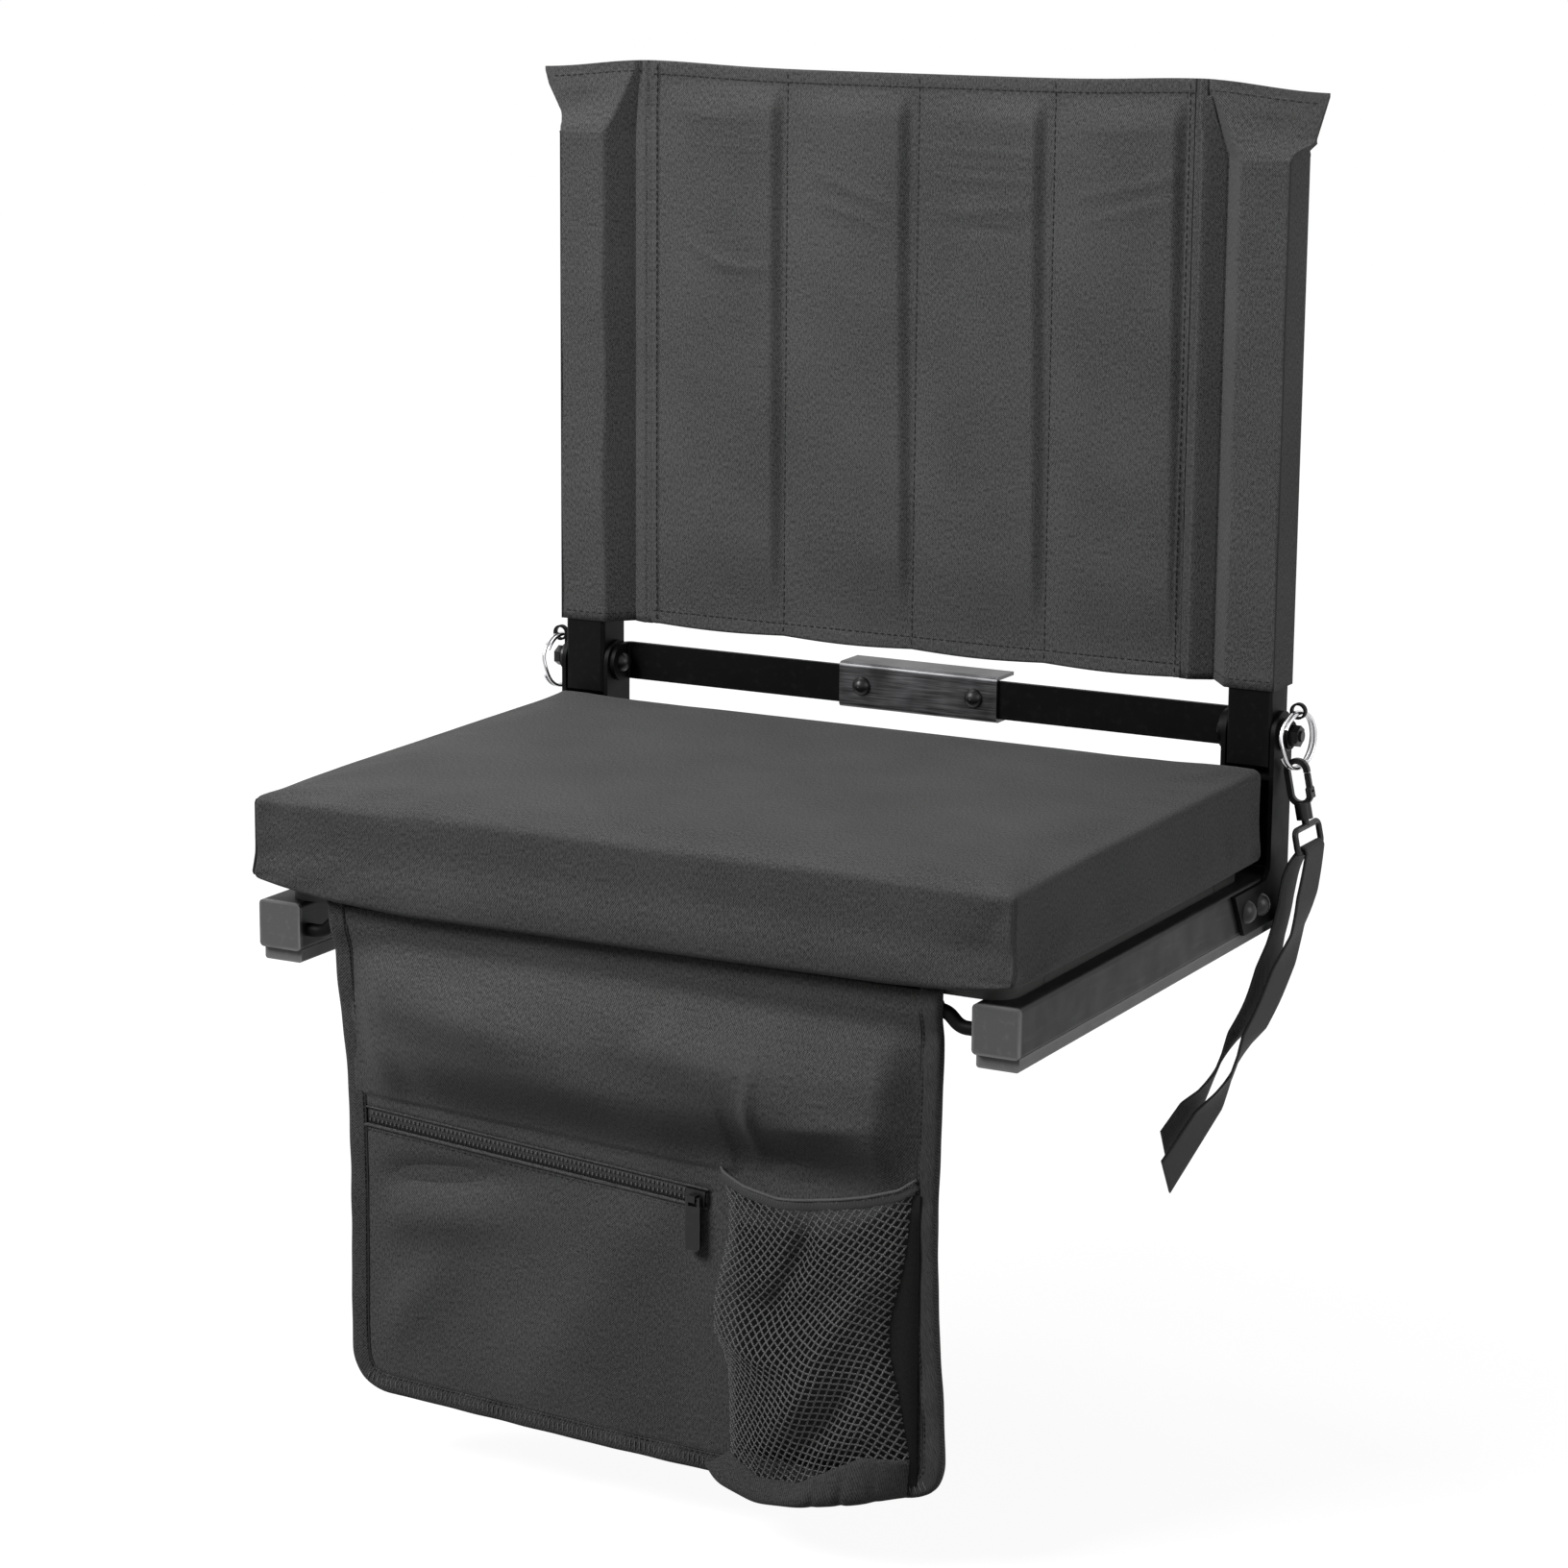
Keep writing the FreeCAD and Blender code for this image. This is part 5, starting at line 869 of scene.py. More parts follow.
@dataclass(frozen=True)
class SlingPanel:
    """The middle of the back: two layers of cloth sewn into four channels with a pad in each."""

    half: float = 160.0
    low: float = 132.4
    high: float = 444.0
    middle: float = 316.2
    layer: float = 0.9
    depth: float = 4.4
    channel: float = 80.0
    hem: float = 7.0
    seam_row: float = 3.2
    seam_rise: float = 0.9
    left_shift: float = 4.5
    rise_run: float = 22.0
    fall_start: float = 0.5
    fall_run: float = 7.5
    valley_wide: float = 3.6
    valley_heights: Span = (170.0, 400.0)
    pad_top: Span = (0.0, 17.0)
    pad_low: Span = (-2.0, 50.0)
    turn: float = 0.5
    turn_soft: float = 0.6
    fell_span: Span = (1.2, 0.2)
    peak_rise: float = 0.9
    peak_more: float = 2.4
    peak_wide: float = 46.0
    peak_run: float = 36.0
    back_less: float = 0.6
    drop: float = 1.4
    drop_run: float = 20.0
    row_end: float = 2.0
    row_points: int = 160
    column_points: int = 120
    columns: int = 385
    rows: int = 221
    valleys: tuple[float, ...] = (0.35, 1.0, 1.0, 1.0)
    creases: tuple[Crease, ...] = (
        Crease(36, 405, -1, 32, 2.6, 0.9),
        Crease(34, 398, 2, 30, 2.6, 0.7),
        Crease(38, 391, -2, 34, 2.8, 0.8),
        Crease(34, 374, 3, 30, 3.6, 1.0),
        Crease(38, 364, -2, 26, 2.6, -0.9),
        Crease(122, 389, 13, 40, 3.8, 1.0),
        Crease(124, 377, 15, 36, 3.4, 0.7),
        Crease(112, 418, 2, 30, 3.0, 0.6),
        Crease(-42, 383, -18, 34, 3.6, 1.0),
        Crease(-44, 370, -16, 24, 3.0, 0.9),
        Crease(-126, 343, -24, 20, 2.8, 1.2),
        Crease(-106, 337, -2, 22, 2.8, 1.0),
        Crease(-130, 418, -3, 30, 3.0, 0.9),
        Crease(-138, 150, -36, 16, 4.0, 1.4),
        Crease(-110, 146, -4, 20, 4.0, 1.0),
        Crease(126, 156, 24, 18, 5.0, 1.0),
        Crease(40, 214, 14, 30, 12.0, 0.8),
        Crease(-40, 250, -12, 34, 14.0, 0.7),
    )

    def swell(self, across: Array, up: Array, back: bool) -> Array:
        """How far a channel stands out, from 0 at its seams to 1.

        From its left seam a channel rises as 1 - exp(-distance / run). To its right seam it falls as
        a cubic step, which on the front lies further from the seam the higher up it is and leaves a
        valley there. The pad ends short of both hems.

        Args:
            across: X of each point.
            up: Z of each point.
            back: whether the rear layer is meant.

        Returns:
            The share of the full depth.
        """
        place = np.mod(across + self.half, self.channel)
        place = np.where(across >= self.half, self.channel, place)
        number = np.clip(((across + self.half) // self.channel).astype(int), 0, len(self.valleys) - 1)
        valley = np.array(self.valleys)[number] * (0 if back else 1) * smooth(*self.valley_heights, up)
        start = self.fall_start + self.valley_wide * valley
        fall = smooth(start, start + self.fall_run, self.channel - place)
        share = (1 - np.exp(-place / self.rise_run)) * fall
        top = smooth(*self.pad_top, self.high - self.hem - up)
        return share * top * smooth(*self.pad_low, up - self.low - self.hem)

    def front(self, across: Array, up: Array) -> Array:
        """Y of the front layer: the channels, the creases, the folded hems and the felled side seams."""
        wrinkle = sum(crease.lift(across, up) for crease in self.creases)
        head, foot, soft = self.high - self.hem, self.low + self.hem, self.turn_soft
        turned = self.turn * (smooth(head - soft, head + soft, up) + smooth(foot + soft, foot - soft, up))
        inset = self.half - np.abs(across)
        felled = self.seam_rise * smooth(*self.fell_span, inset - self.seam_row)
        share = self.swell(across, up, False)
        return self.middle - self.layer - turned - felled - share * (self.depth + wrinkle)

    def spread(self, across: Array) -> Array:
        """X with the leftmost channel drawn wider, as its side seam is sewn nearer to the tube."""
        return across - self.left_shift * smooth(-self.channel, -self.half, across)

    def peak(self, across: Array, up: Array) -> Array:
        """How much higher the cloth reaches at its top edge, most of all at the side seams."""
        more = self.peak_more * hump(np.abs(across), self.half, self.peak_wide)
        return (self.peak_rise + more) * smooth(self.high - self.peak_run, self.high, up)

    def grid(self, back: bool) -> Array:
        """Points of one layer; its lower edge hangs a little lower inside each channel."""
        across = np.linspace(-self.half, self.half, self.columns)
        up = np.linspace(self.low, self.high, self.rows)
        across, up = np.meshgrid(across, up, indexing="ij")
        deep = self.front(across, up)
        if back:
            deep = self.middle + self.layer + self.swell(across, up, True) * (self.depth - self.back_less)
        scallop = np.sin(np.mod(across + self.half, self.channel) / self.channel * math.pi)
        drop = self.drop * scallop * smooth(self.low + self.drop_run, self.low, up)
        return np.stack([self.spread(across), deep, up - drop + self.peak(across, up)], -1)

    def row(self, across: Array | float, up: Array | float) -> Array:
        """Points of a row of stitches on the front layer, upright or level."""
        across, up = np.broadcast_arrays(across, up)
        return np.stack([self.spread(across), self.front(across, up), up + self.peak(across, up)], -1)

    def build(self) -> None:
        """Make the panel and its stitching."""
        skin = Skin()
        skin.slab(self.grid(False), self.grid(True))
        nodes = ("back_panel", "back_pads")
        piece = make(skin, "back_panel_cloth", SLING_CLOTH, Body.BACK, "sling_cloth", *nodes)
        thread = Skin()
        sewing = Stitching()
        up = np.linspace(self.low + self.row_end, self.high - self.row_end, self.column_points)
        edge = self.half - self.seam_row
        for across in (-edge, -self.channel, 0.0, self.channel, edge):
            sewing.sew(thread, self.row(across, up), FORWARD)
        across = np.linspace(-self.half, self.half, self.row_points)
        for height in (self.high - self.hem, self.low + self.hem):
            sewing.sew(thread, self.row(across, height), FORWARD)
        make(thread, "back_panel_stitching", SEWING, Body.BACK, "sling_cloth")


@dataclass(frozen=True)
class Sleeve:
    """A sleeve of the sling round one upright, drawn flat into an ear above the tube's end."""

    side: Side
    seam: float
    flare: Pairs
    dip: Span
    low: float = 132.0
    high: float = 444.0
    tube_top: float = 407.5
    inner: float = 189.8
    front: float = 303.5
    back: float = 331.5
    seam_front: float = 315.3
    seam_back: float = 317.1
    ear_deep: float = 312.4
    ridge: float = 0.9
    ridge_width: float = 5.0
    wall: float = 0.9
    cord: float = 0.5
    hem: float = 7.0
    ridge_gap: float = 1.6
    ridge_flat: float = 2.6
    recess_gap: float = 1.5
    inner_gap: float = 4.0
    tip_gap: float = 4.0
    ear_step: float = 1.0
    ear_half: float = 0.8
    closing: float = 0.8
    shut_run: float = 12.0
    bend_gap: float = 8.0
    bend_step: float = 0.6
    ripple: float = 0.5
    ripple_run: float = 19.0
    ripple_span: Span = (400.0, 300.0)
    dent: Crease = Crease(44, 424.5, 0, 13, 6.0, 1.3)
    peak: float = 3.3
    peak_wide: float = 46.0
    peak_run: float = 36.0
    fall: float = 2.0
    fall_span: Span = (8.0, 70.0)
    rear_gap: int = 14
    seam_gap: int = 3
    steps: tuple[int, ...] = (4, 2, 16, 10, 28, 26, 28, 30)
    rows: int = 170

    def corners(self, up: Array) -> Array:
        """Corners of the section at each height.

        Above the tube's end the depth closes with a power of the height and the inner corner runs
        to the seam; the outer corner follows the flare's points and closes over a short run.

        Args:
            up: heights, one per row.

        Returns:
            Points (row, corner, x and y) from the front seam round to the rear seam.
        """
        flare = np.array(self.flare)
        rise = np.clip((up - self.tube_top) / (self.high - self.tip_gap - self.tube_top), 0, 1)
        shut = smooth(self.tube_top, self.tube_top + self.shut_run, up)
        foot = self.seam + self.ridge_width + self.ridge_gap
        recess = self.dip[0] + (foot + self.recess_gap - self.dip[0]) * rise
        sunk = self.dip[1] + (self.seam_front - self.ear_half - self.dip[1]) * rise
        inner = self.inner + (foot + self.inner_gap - self.inner) * rise
        outer = np.interp(up, flare[:, 0], flare[:, 1])
        front = self.front + (self.ear_deep - self.front) * rise**self.closing
        back = self.back + (self.seam_back - self.ear_step - self.back) * rise
        tip = self.ear_deep + self.ear_step
        outer_front = np.maximum(front, self.front + (tip - self.ear_half - self.front) * shut)
        outer_back = np.minimum(back, self.back + (tip + self.ear_half - self.back) * shut)
        still = np.ones_like(up)
        raised = self.seam_front - self.ridge
        pairs = (
            (self.seam * still, raised * still), ((foot - self.ridge_flat) * still, raised * still),
            (foot * still, self.seam_front * still), (recess, sunk), (inner, front),
            (outer, outer_front), (outer, outer_back), (inner, back),
            (self.seam * still, self.seam_back * still),
        )
        return np.stack([np.stack(pair, -1) for pair in pairs], 1)

    def weights(self) -> Array:
        """How much of each corner goes into each point round the section, softened at the corners."""
        stops = np.concatenate([[0], np.cumsum(self.steps)])
        places = np.arange(stops[-1] + 1)
        hats = np.stack([np.interp(places, stops, row) for row in np.eye(len(stops))], -1)
        soft = hats.copy()
        soft[1:-1] = (hats[:-2] + 2 * hats[1:-1] + hats[2:]) / 4
        return soft

    def grid(self) -> Array:
        """The sleeve's outer face: sections stacked up the tube, with folds and a top edge that falls."""
        bend = self.tube_top - self.bend_gap
        third = self.rows // 3
        up = np.concatenate([
            np.linspace(self.low, bend, third),
            np.linspace(bend + self.bend_step, self.high, self.rows - third),
        ])
        flat = np.einsum("ak,rkc->arc", self.weights(), self.corners(up))
        reach = flat[..., 0] - self.seam
        number = np.arange(len(flat))[:, None]
        face = (number > sum(self.steps[:4])) & (number < sum(self.steps[:5]))
        ripple = self.ripple * np.sin(up / self.ripple_run) * smooth(*self.ripple_span, up)
        flat[..., 1] += face * (ripple + self.dent.lift(reach, up))
        peak = self.peak * hump(reach, 0, self.peak_wide) - self.fall * smooth(*self.fall_span, reach)
        height = up + smooth(self.high - self.peak_run, self.high, up) * peak
        return np.stack([flat[..., 0] * self.side.value, flat[..., 1], height], -1)

    def build(self) -> None:
        """Make the sleeve and its stitching."""
        outer = self.grid()
        normal = unit(np.cross(np.gradient(outer, axis=0), np.gradient(outer, axis=1)))
        middle = outer.mean(axis=0, keepdims=True)
        inward = np.where(np.sum(normal * (middle - outer), -1, keepdims=True) > 0, normal, -normal)
        skin = Skin()
        skin.slab(outer, outer + inward * self.wall)
        side = self.side.name.lower()
        piece = make(skin, f"{side}_sleeve_cloth", SLING_CLOTH, Body.BACK, "sling_cloth", f"{side}_sleeve")
        thread = Skin()
        sewing = Stitching()
        sewing.sew(thread, outer[self.steps[0], 2:-2], FORWARD)
        corner = sum(self.steps[:5])
        rear = corner + self.steps[5] // 2 + self.rear_gap
        for height in (self.high - self.hem, self.low + self.hem):
            level = int(np.argmin(np.abs(outer[corner, :, 2] - height)))
            sewing.sew(thread, outer[self.seam_gap:corner - 1, level], FORWARD)
            sewing.sew(thread, outer[rear:-self.seam_gap, level], BACKWARD)
        welt = outer[corner, outer[corner, :, 2] < self.tube_top]
        thread.tube(welt, self.cord, 6)
        make(thread, f"{side}_sleeve_stitching", SEWING, Body.BACK, "sling_cloth")


# Pocket bag


@dataclass(frozen=True)
class Zipper:
    """The sloping zipper: a tape, two rows of coil teeth and a rolled lip of cloth on each side."""

    left: float = -155.0
    start: float = -76.2
    fall: float = 3.7
    run: float = 201.0
    tape_half: float = 5.6
    tape_face: float = 5.95
    tooth_pitch: float = 2.5
    tooth_length: float = 2.1
    tooth_radius: float = 0.55
    tooth_offset: float = 1.8
    upper_lip: float = 4.7
    lower_lip: float = -4.9
    lip_face: float = 5.3
    tape_thick: float = 0.7
    tooth_rise: float = 0.2
    tooth_start: float = 1.0
    tooth_spare: float = 1.5
    upper_roll: Span = (0.45, 0.6)
    lower_roll: Span = (0.9, 0.95)
    roll_over: float = 1.0
    row: Stitching = Stitching(3.4, 2.4, 0.3)
    row_gap: float = 2.4
    points: int = 120

    def slope(self) -> Span:
        """Cosine and sine of the fall."""
        return math.cos(math.radians(self.fall)), math.sin(math.radians(self.fall))

    def along(self, across: Array, up: Array) -> tuple[Array, Array]:
        """Length along the zipper and height over it, for each point of the bag's face."""
        cos, sin = self.slope()
        x, z = across - self.left, up - self.start
        return x * cos - z * sin, x * sin + z * cos

    def line(self, offset: float, deep: float, start: float = 0.0, spare: float = 0.0) -> Array:
        """Points of a line beside the zipper at a height over it and a depth."""
        cos, sin = self.slope()
        run = np.linspace(start, self.run - spare, self.points)
        return np.stack([
            self.left + run * cos + offset * sin,
            np.full_like(run, deep),
            self.start - run * sin + offset * cos,
        ], -1)

    def build(self) -> None:
        """Make tape, teeth and lips."""
        tape = Skin()
        rows = np.stack([self.line(v, self.tape_face) for v in (-self.tape_half, 0.0, self.tape_half)])
        tape.slab(rows, rows + self.tape_thick * np.array(BACKWARD))
        make(tape, "zipper_cloth_tape", TAPE, Body.BAG, "zipper_coil", "zipper_tape")
        teeth = Skin()
        coil = Stitching(self.tooth_pitch, self.tooth_length, self.tooth_radius, self.tooth_rise)
        deep = self.tape_face - self.tooth_rise
        for offset, shift in ((-self.tooth_offset, 0.0), (self.tooth_offset, self.tooth_pitch / 2)):
            line = self.line(offset, deep, self.tooth_start + shift, self.tooth_spare)
            coil.sew(teeth, line, FORWARD, across=True)
        make(teeth, "zipper_coil_teeth", COIL, Body.BAG, "zipper_coil", "zipper_chain")
        lips = Skin()
        for offset, roll in ((self.upper_lip, self.upper_roll), (self.lower_lip, self.lower_roll)):
            lips.tube(self.line(offset, self.lip_face, -self.roll_over, -self.roll_over), roll, 10)
        make(lips, "zipper_lips", BAG_CLOTH, Body.BAG, "bag_cloth")
        thread = Skin()
        self.row.sew(thread, self.line(self.lower_lip - self.row_gap, self.lip_face), FORWARD)
        make(thread, "zipper_stitching", SEWING, Body.BAG, "bag_cloth")


@dataclass(frozen=True)
class Bag:
    """The pocket bag on its rod: front and back cloth, a bound edge and the rod sleeve.

    The fold is half of the binding's section: how far in from the rim, how far behind the front face.
    """

    front_face: float = 5.35
    back_face: float = 8.75
    cloth: float = 1.2
    rod_deep: float = 8.0
    rod_up: float = 24.0
    sleeve_out: float = 5.25
    sleeve_in: float = 3.9
    sleeve_half: float = 170.5
    sleeve_step: float = 2.6
    lip_step: float = 1.3
    top: float = 27.0
    heading: float = 34.5
    inset: float = 5.0
    tape_width: float = 10.0
    fold: Pairs = (
        (10.0, 0.4), (9.8, -0.5), (8.8, -0.75), (5.5, -1.0), (2.0, -1.25), (0.3, -0.8), (-0.6, 0.7),
    )
    columns: int = 271
    rows: int = 201
    rim_points: int = 420
    rim_soft: int = 5
    ring: int = 36
    floor: float = -221.0
    sleeve_span: Span = (8.0, 24.0)
    lip_span: Span = (10.0, 34.0)
    belly: float = 13.0
    belly_top: Span = (24.0, -18.0)
    belly_low: Span = (-74.0, -34.0)
    zip_clear: float = 30.0
    zip_wide: float = 15.0
    net_corner: Crease = Crease(40, -100, 0, 15, 24, 1.0)
    left_span: Span = (7.0, 34.0)
    right_span: Span = (7.0, 30.0)
    foot_span: Span = (-226.0, -205.0)
    head_span: Span = (22.0, 2.0)
    groove: float = 1.2
    groove_end: float = 8.0
    groove_span: Span = (6.0, 4.0)
    flap_rise: float = 1.0
    flap_edge: Span = (-0.7, 0.7)
    flap_fade: Span = (70.0, 20.0)
    flap_end: float = 6.0
    pucker: float = 0.35
    pucker_waves: Span = (5.3, 31.0)
    seam: Stitching = Stitching(3.2, 2.6, 0.46)
    seam_in: float = 0.9
    seam_out: float = 0.7
    # A dark cord along the binding's inner edge: partly a stitched row, partly painted shade for the gap
    # there.
    shadow_cord: float = 0.5
    shadow_cord_in: float = 0.3
    shadow_cord_out: float = 0.2
    shadow_cord_ends: int = 6
    ticks: Stitching = Stitching(2.8, 5.2, 0.36)
    ticks_in: float = 4.8
    ticks_out: float = 1.0
    ticks_level: float = 0.8
    flap_seam: Pairs = ((-157.0, -64.4), (59.0, -72.3))
    left_edge: Pairs = (
        (-174.6, 36.0), (-174.0, 29.0), (-172.5, 4.0), (-170.5, -18.0), (-166.5, -48.0), (-165.5, -80.0),
        (-165.0, -124.0), (-165.8, -192.0), (-164.8, -214.0),
    )
    bottom_edge: Pairs = (
        (-154.0, -224.5), (-86.0, -227.0), (-17.0, -229.5), (47.0, -231.0), (100.0, -230.0), (151.0, -224.5),
        (168.0, -222.0),
    )
    right_edge: Pairs = (
        (177.0, -213.0), (176.0, -182.0), (172.2, -134.0), (170.6, -86.0), (172.0, -28.0), (173.0, 27.0),
        (173.4, 36.0),
    )
    zipper: Zipper = Zipper()
    folds: tuple[Crease, ...] = (
        Crease(-66, -14, -20, 84, 24, 11.0),
        Crease(46, -12, -21, 84, 22, 10.0),
        Crease(-140, -28, -58, 36, 12, -4.5),
        Crease(-152, -14, -76, 24, 5, 2.2),
        Crease(96, -62, 2, 36, 14, -5.0),
        Crease(78, -36, 84, 24, 4, 1.8),
        Crease(112, -40, 8, 26, 5, 1.6),
        Crease(22, 8, 68, 18, 9, -2.4),
        Crease(-112, -124, 8, 46, 12, 3.6),
        Crease(-108, -101, 8, 48, 8, -4.0),
        Crease(-20, -150, 60, 70, 26, 3.4),
        Crease(-132, -176, 50, 36, 12, 2.0),
    )

    def rim(self) -> Array:
        """The bound edge, down the left, round two corners and up the right, softened."""
        points = np.array([*self.left_edge, *self.bottom_edge, *self.right_edge])
        return rounded(points, self.rim_points, self.rim_soft)

    def sides(self, up: Array) -> tuple[Array, Array]:
        """X of the left and of the right edge at each height."""
        left, right = np.array(self.left_edge), np.array(self.right_edge)
        return np.interp(-up, -left[:, 1], left[:, 0]), np.interp(up, right[:, 1], right[:, 0])

    def bulge(self, across: Array, up: Array) -> Array:
        """How far the front cloth stands forward: a belly over the zipper and folds, none at the edges."""
        along, over = self.zipper.along(across, up)
        run, clear = self.zipper.run, self.zip_clear
        beside = smooth(-clear, 0, along) * smooth(run + clear, run, along)
        free = 1 - beside * hump(over, 0, self.zip_wide)
        free = free * (1 - self.net_corner.lift(across, up))
        left, right = self.sides(up)
        free = free * smooth(*self.left_span, across - left) * smooth(*self.right_span, right - across)
        free = free * smooth(*self.foot_span, up) * smooth(*self.head_span, up)
        belly = self.belly * smooth(*self.belly_top, up) * smooth(*self.belly_low, up)
        return free * (belly + sum(fold.lift(across, up) for fold in self.folds))

    def front(self, across: Array, up: Array) -> Array:
        """Y of the front cloth: folds, the flap's edge, a groove for the tape and the turn over the rod."""
        along, over = self.zipper.along(across, up)
        run, end = self.zipper.run, self.groove_end
        inside = smooth(-end, 0, along) * smooth(run + end, run, along)
        groove = self.groove * smooth(*self.groove_span, np.abs(over)) * inside
        (start, high), (stop, low) = self.flap_seam
        height = up - (high + (across - start) * (low - high) / (stop - start))
        flap = smooth(*self.flap_edge, height) * smooth(*self.flap_fade, height)
        flap = self.flap_rise * flap * smooth(stop + self.flap_end, stop, across)
        return self.front_face - self.bulge(across, up) + groove - flap - self.lift(up)

    def lift(self, up: Array) -> Array:
        """How far the top of the bag stands forward: over the rod's sleeve and up to the cushion's lip."""
        over_sleeve = self.sleeve_step * smooth(*self.sleeve_span, up)
        return over_sleeve + self.lip_step * smooth(*self.lip_span, up)

    def face(self, top: float) -> tuple[Array, Array]:
        """X and Z of a grid that fills the bound edge up to a height, set in from it."""
        share = np.linspace(0, 1, self.columns)[:, None]
        down = np.linspace(0, 1, self.rows)[None]
        base = np.array([self.left_edge[-1], *self.bottom_edge, self.right_edge[0]])
        guess = base[0, 0] + share * (base[-1, 0] - base[0, 0])
        low = np.interp(guess, base[:, 0], np.minimum(base[:, 1], self.floor)) + self.inset
        up = top + down * (low - top)
        left, right = self.sides(up)
        return left + self.inset + share * (right - left - 2 * self.inset), up

    def build(self) -> None:
        """Make front, back, sleeve and binding."""
        across, up = self.face(self.heading)
        front = Skin()
        shape = np.stack([across, self.front(across, up), up], -1)
        thick = self.cloth * np.array(BACKWARD)
        front.slab(shape, shape + thick)
        piece = make(front, "bag_front_cloth", BAG_CLOTH, Body.BAG, "bag_cloth", "bag_front_panel")
        across, up = self.face(self.top)
        back = Skin()
        rear = np.stack([across, np.full_like(across, self.back_face), up], -1)
        back.slab(rear - thick, rear)
        angle = (np.arange(self.ring) * math.tau / self.ring)[:, None]
        ends = np.array([-1, 1, 1, -1, -1]) * self.sleeve_half
        radii = np.array([self.sleeve_out, self.sleeve_out, self.sleeve_in, self.sleeve_in, self.sleeve_out])
        back.grid(np.stack([
            np.broadcast_to(ends, (self.ring, len(ends))),
            self.rod_deep + np.cos(angle) * radii,
            self.rod_up + np.sin(angle) * radii,
        ], -1), closed=True)
        piece = make(back, "bag_back_cloth", BAG_CLOTH, Body.BAG, "bag_cloth", "bag_back_panel")
        self.bind()
        self.zipper.build()

    def over(self, points: Array, out: float) -> Array:
        """Places (x, z) as points that stand so far out from the front cloth."""
        return np.stack([points[:, 0], self.front_face - out - self.lift(points[:, 1]), points[:, 1]], -1)

    def bind(self) -> None:
        """Fold the tape over the edge: a flat U carried along the rim, its stitching, a dark cord of painted
        shade along its inner edge and its overlock.
        """
        rim = self.rim()
        way = unit(np.gradient(rim, axis=0))
        inward = np.stack([-way[:, 1], way[:, 0]], -1)
        face, rear, wide = self.front_face, self.back_face, self.tape_width
        front = [(inset, face + deep) for inset, deep in self.fold]
        behind = [(inset, rear - deep) for inset, deep in reversed(self.fold)]
        section = np.array([*front, *behind, front[0]])
        short, long = (np.sin(arc_lengths(rim) / wave) for wave in self.pucker_waves)
        pucker = self.pucker * short * long
        flat = rim[:, None] + section[:, 0][None, :, None] * inward[:, None]
        outward = np.sign(section[:, 1] - (face + rear) / 2)
        deep = section[:, 1] - self.lift(flat[..., 1]) + pucker[:, None] * outward
        tube = np.stack([flat[..., 0], deep, flat[..., 1]], -1)
        tape = Skin()
        tape.grid(tube)
        for loop in (tube[0], tube[-1]):
            tape.grid(np.stack([loop, np.broadcast_to(loop[:-1].mean(0), loop.shape)]))
        make(tape, "bag_binding_tape", BINDING, Body.BAG, "bag_cloth", "bag_binding")
        thread = Skin()
        self.seam.sew(thread, self.over(rim + inward * (wide - self.seam_in), self.seam_out), FORWARD)
        # Partly painted shade: a continuous dark cord stands for a stitched row and the shadow in the gap at
        # the binding's inner edge.
        shadow_cord = (rim + inward * (wide + self.shadow_cord_in))[self.shadow_cord_ends:-self.shadow_cord_ends]
        thread.tube(self.over(shadow_cord, self.shadow_cord_out), self.shadow_cord, 6)
        make(thread, "bag_stitching", SEWING, Body.BAG, "bag_cloth")
        low = rim[np.abs(inward[:, 1]) > self.ticks_level] + np.array([0.0, self.ticks_in])
        ticks = Skin()
        self.ticks.sew(ticks, self.over(low, self.ticks_out), FORWARD, across=True)
        make(ticks, "bag_overlock", OVERLOCK, Body.BAG, "bag_cloth")


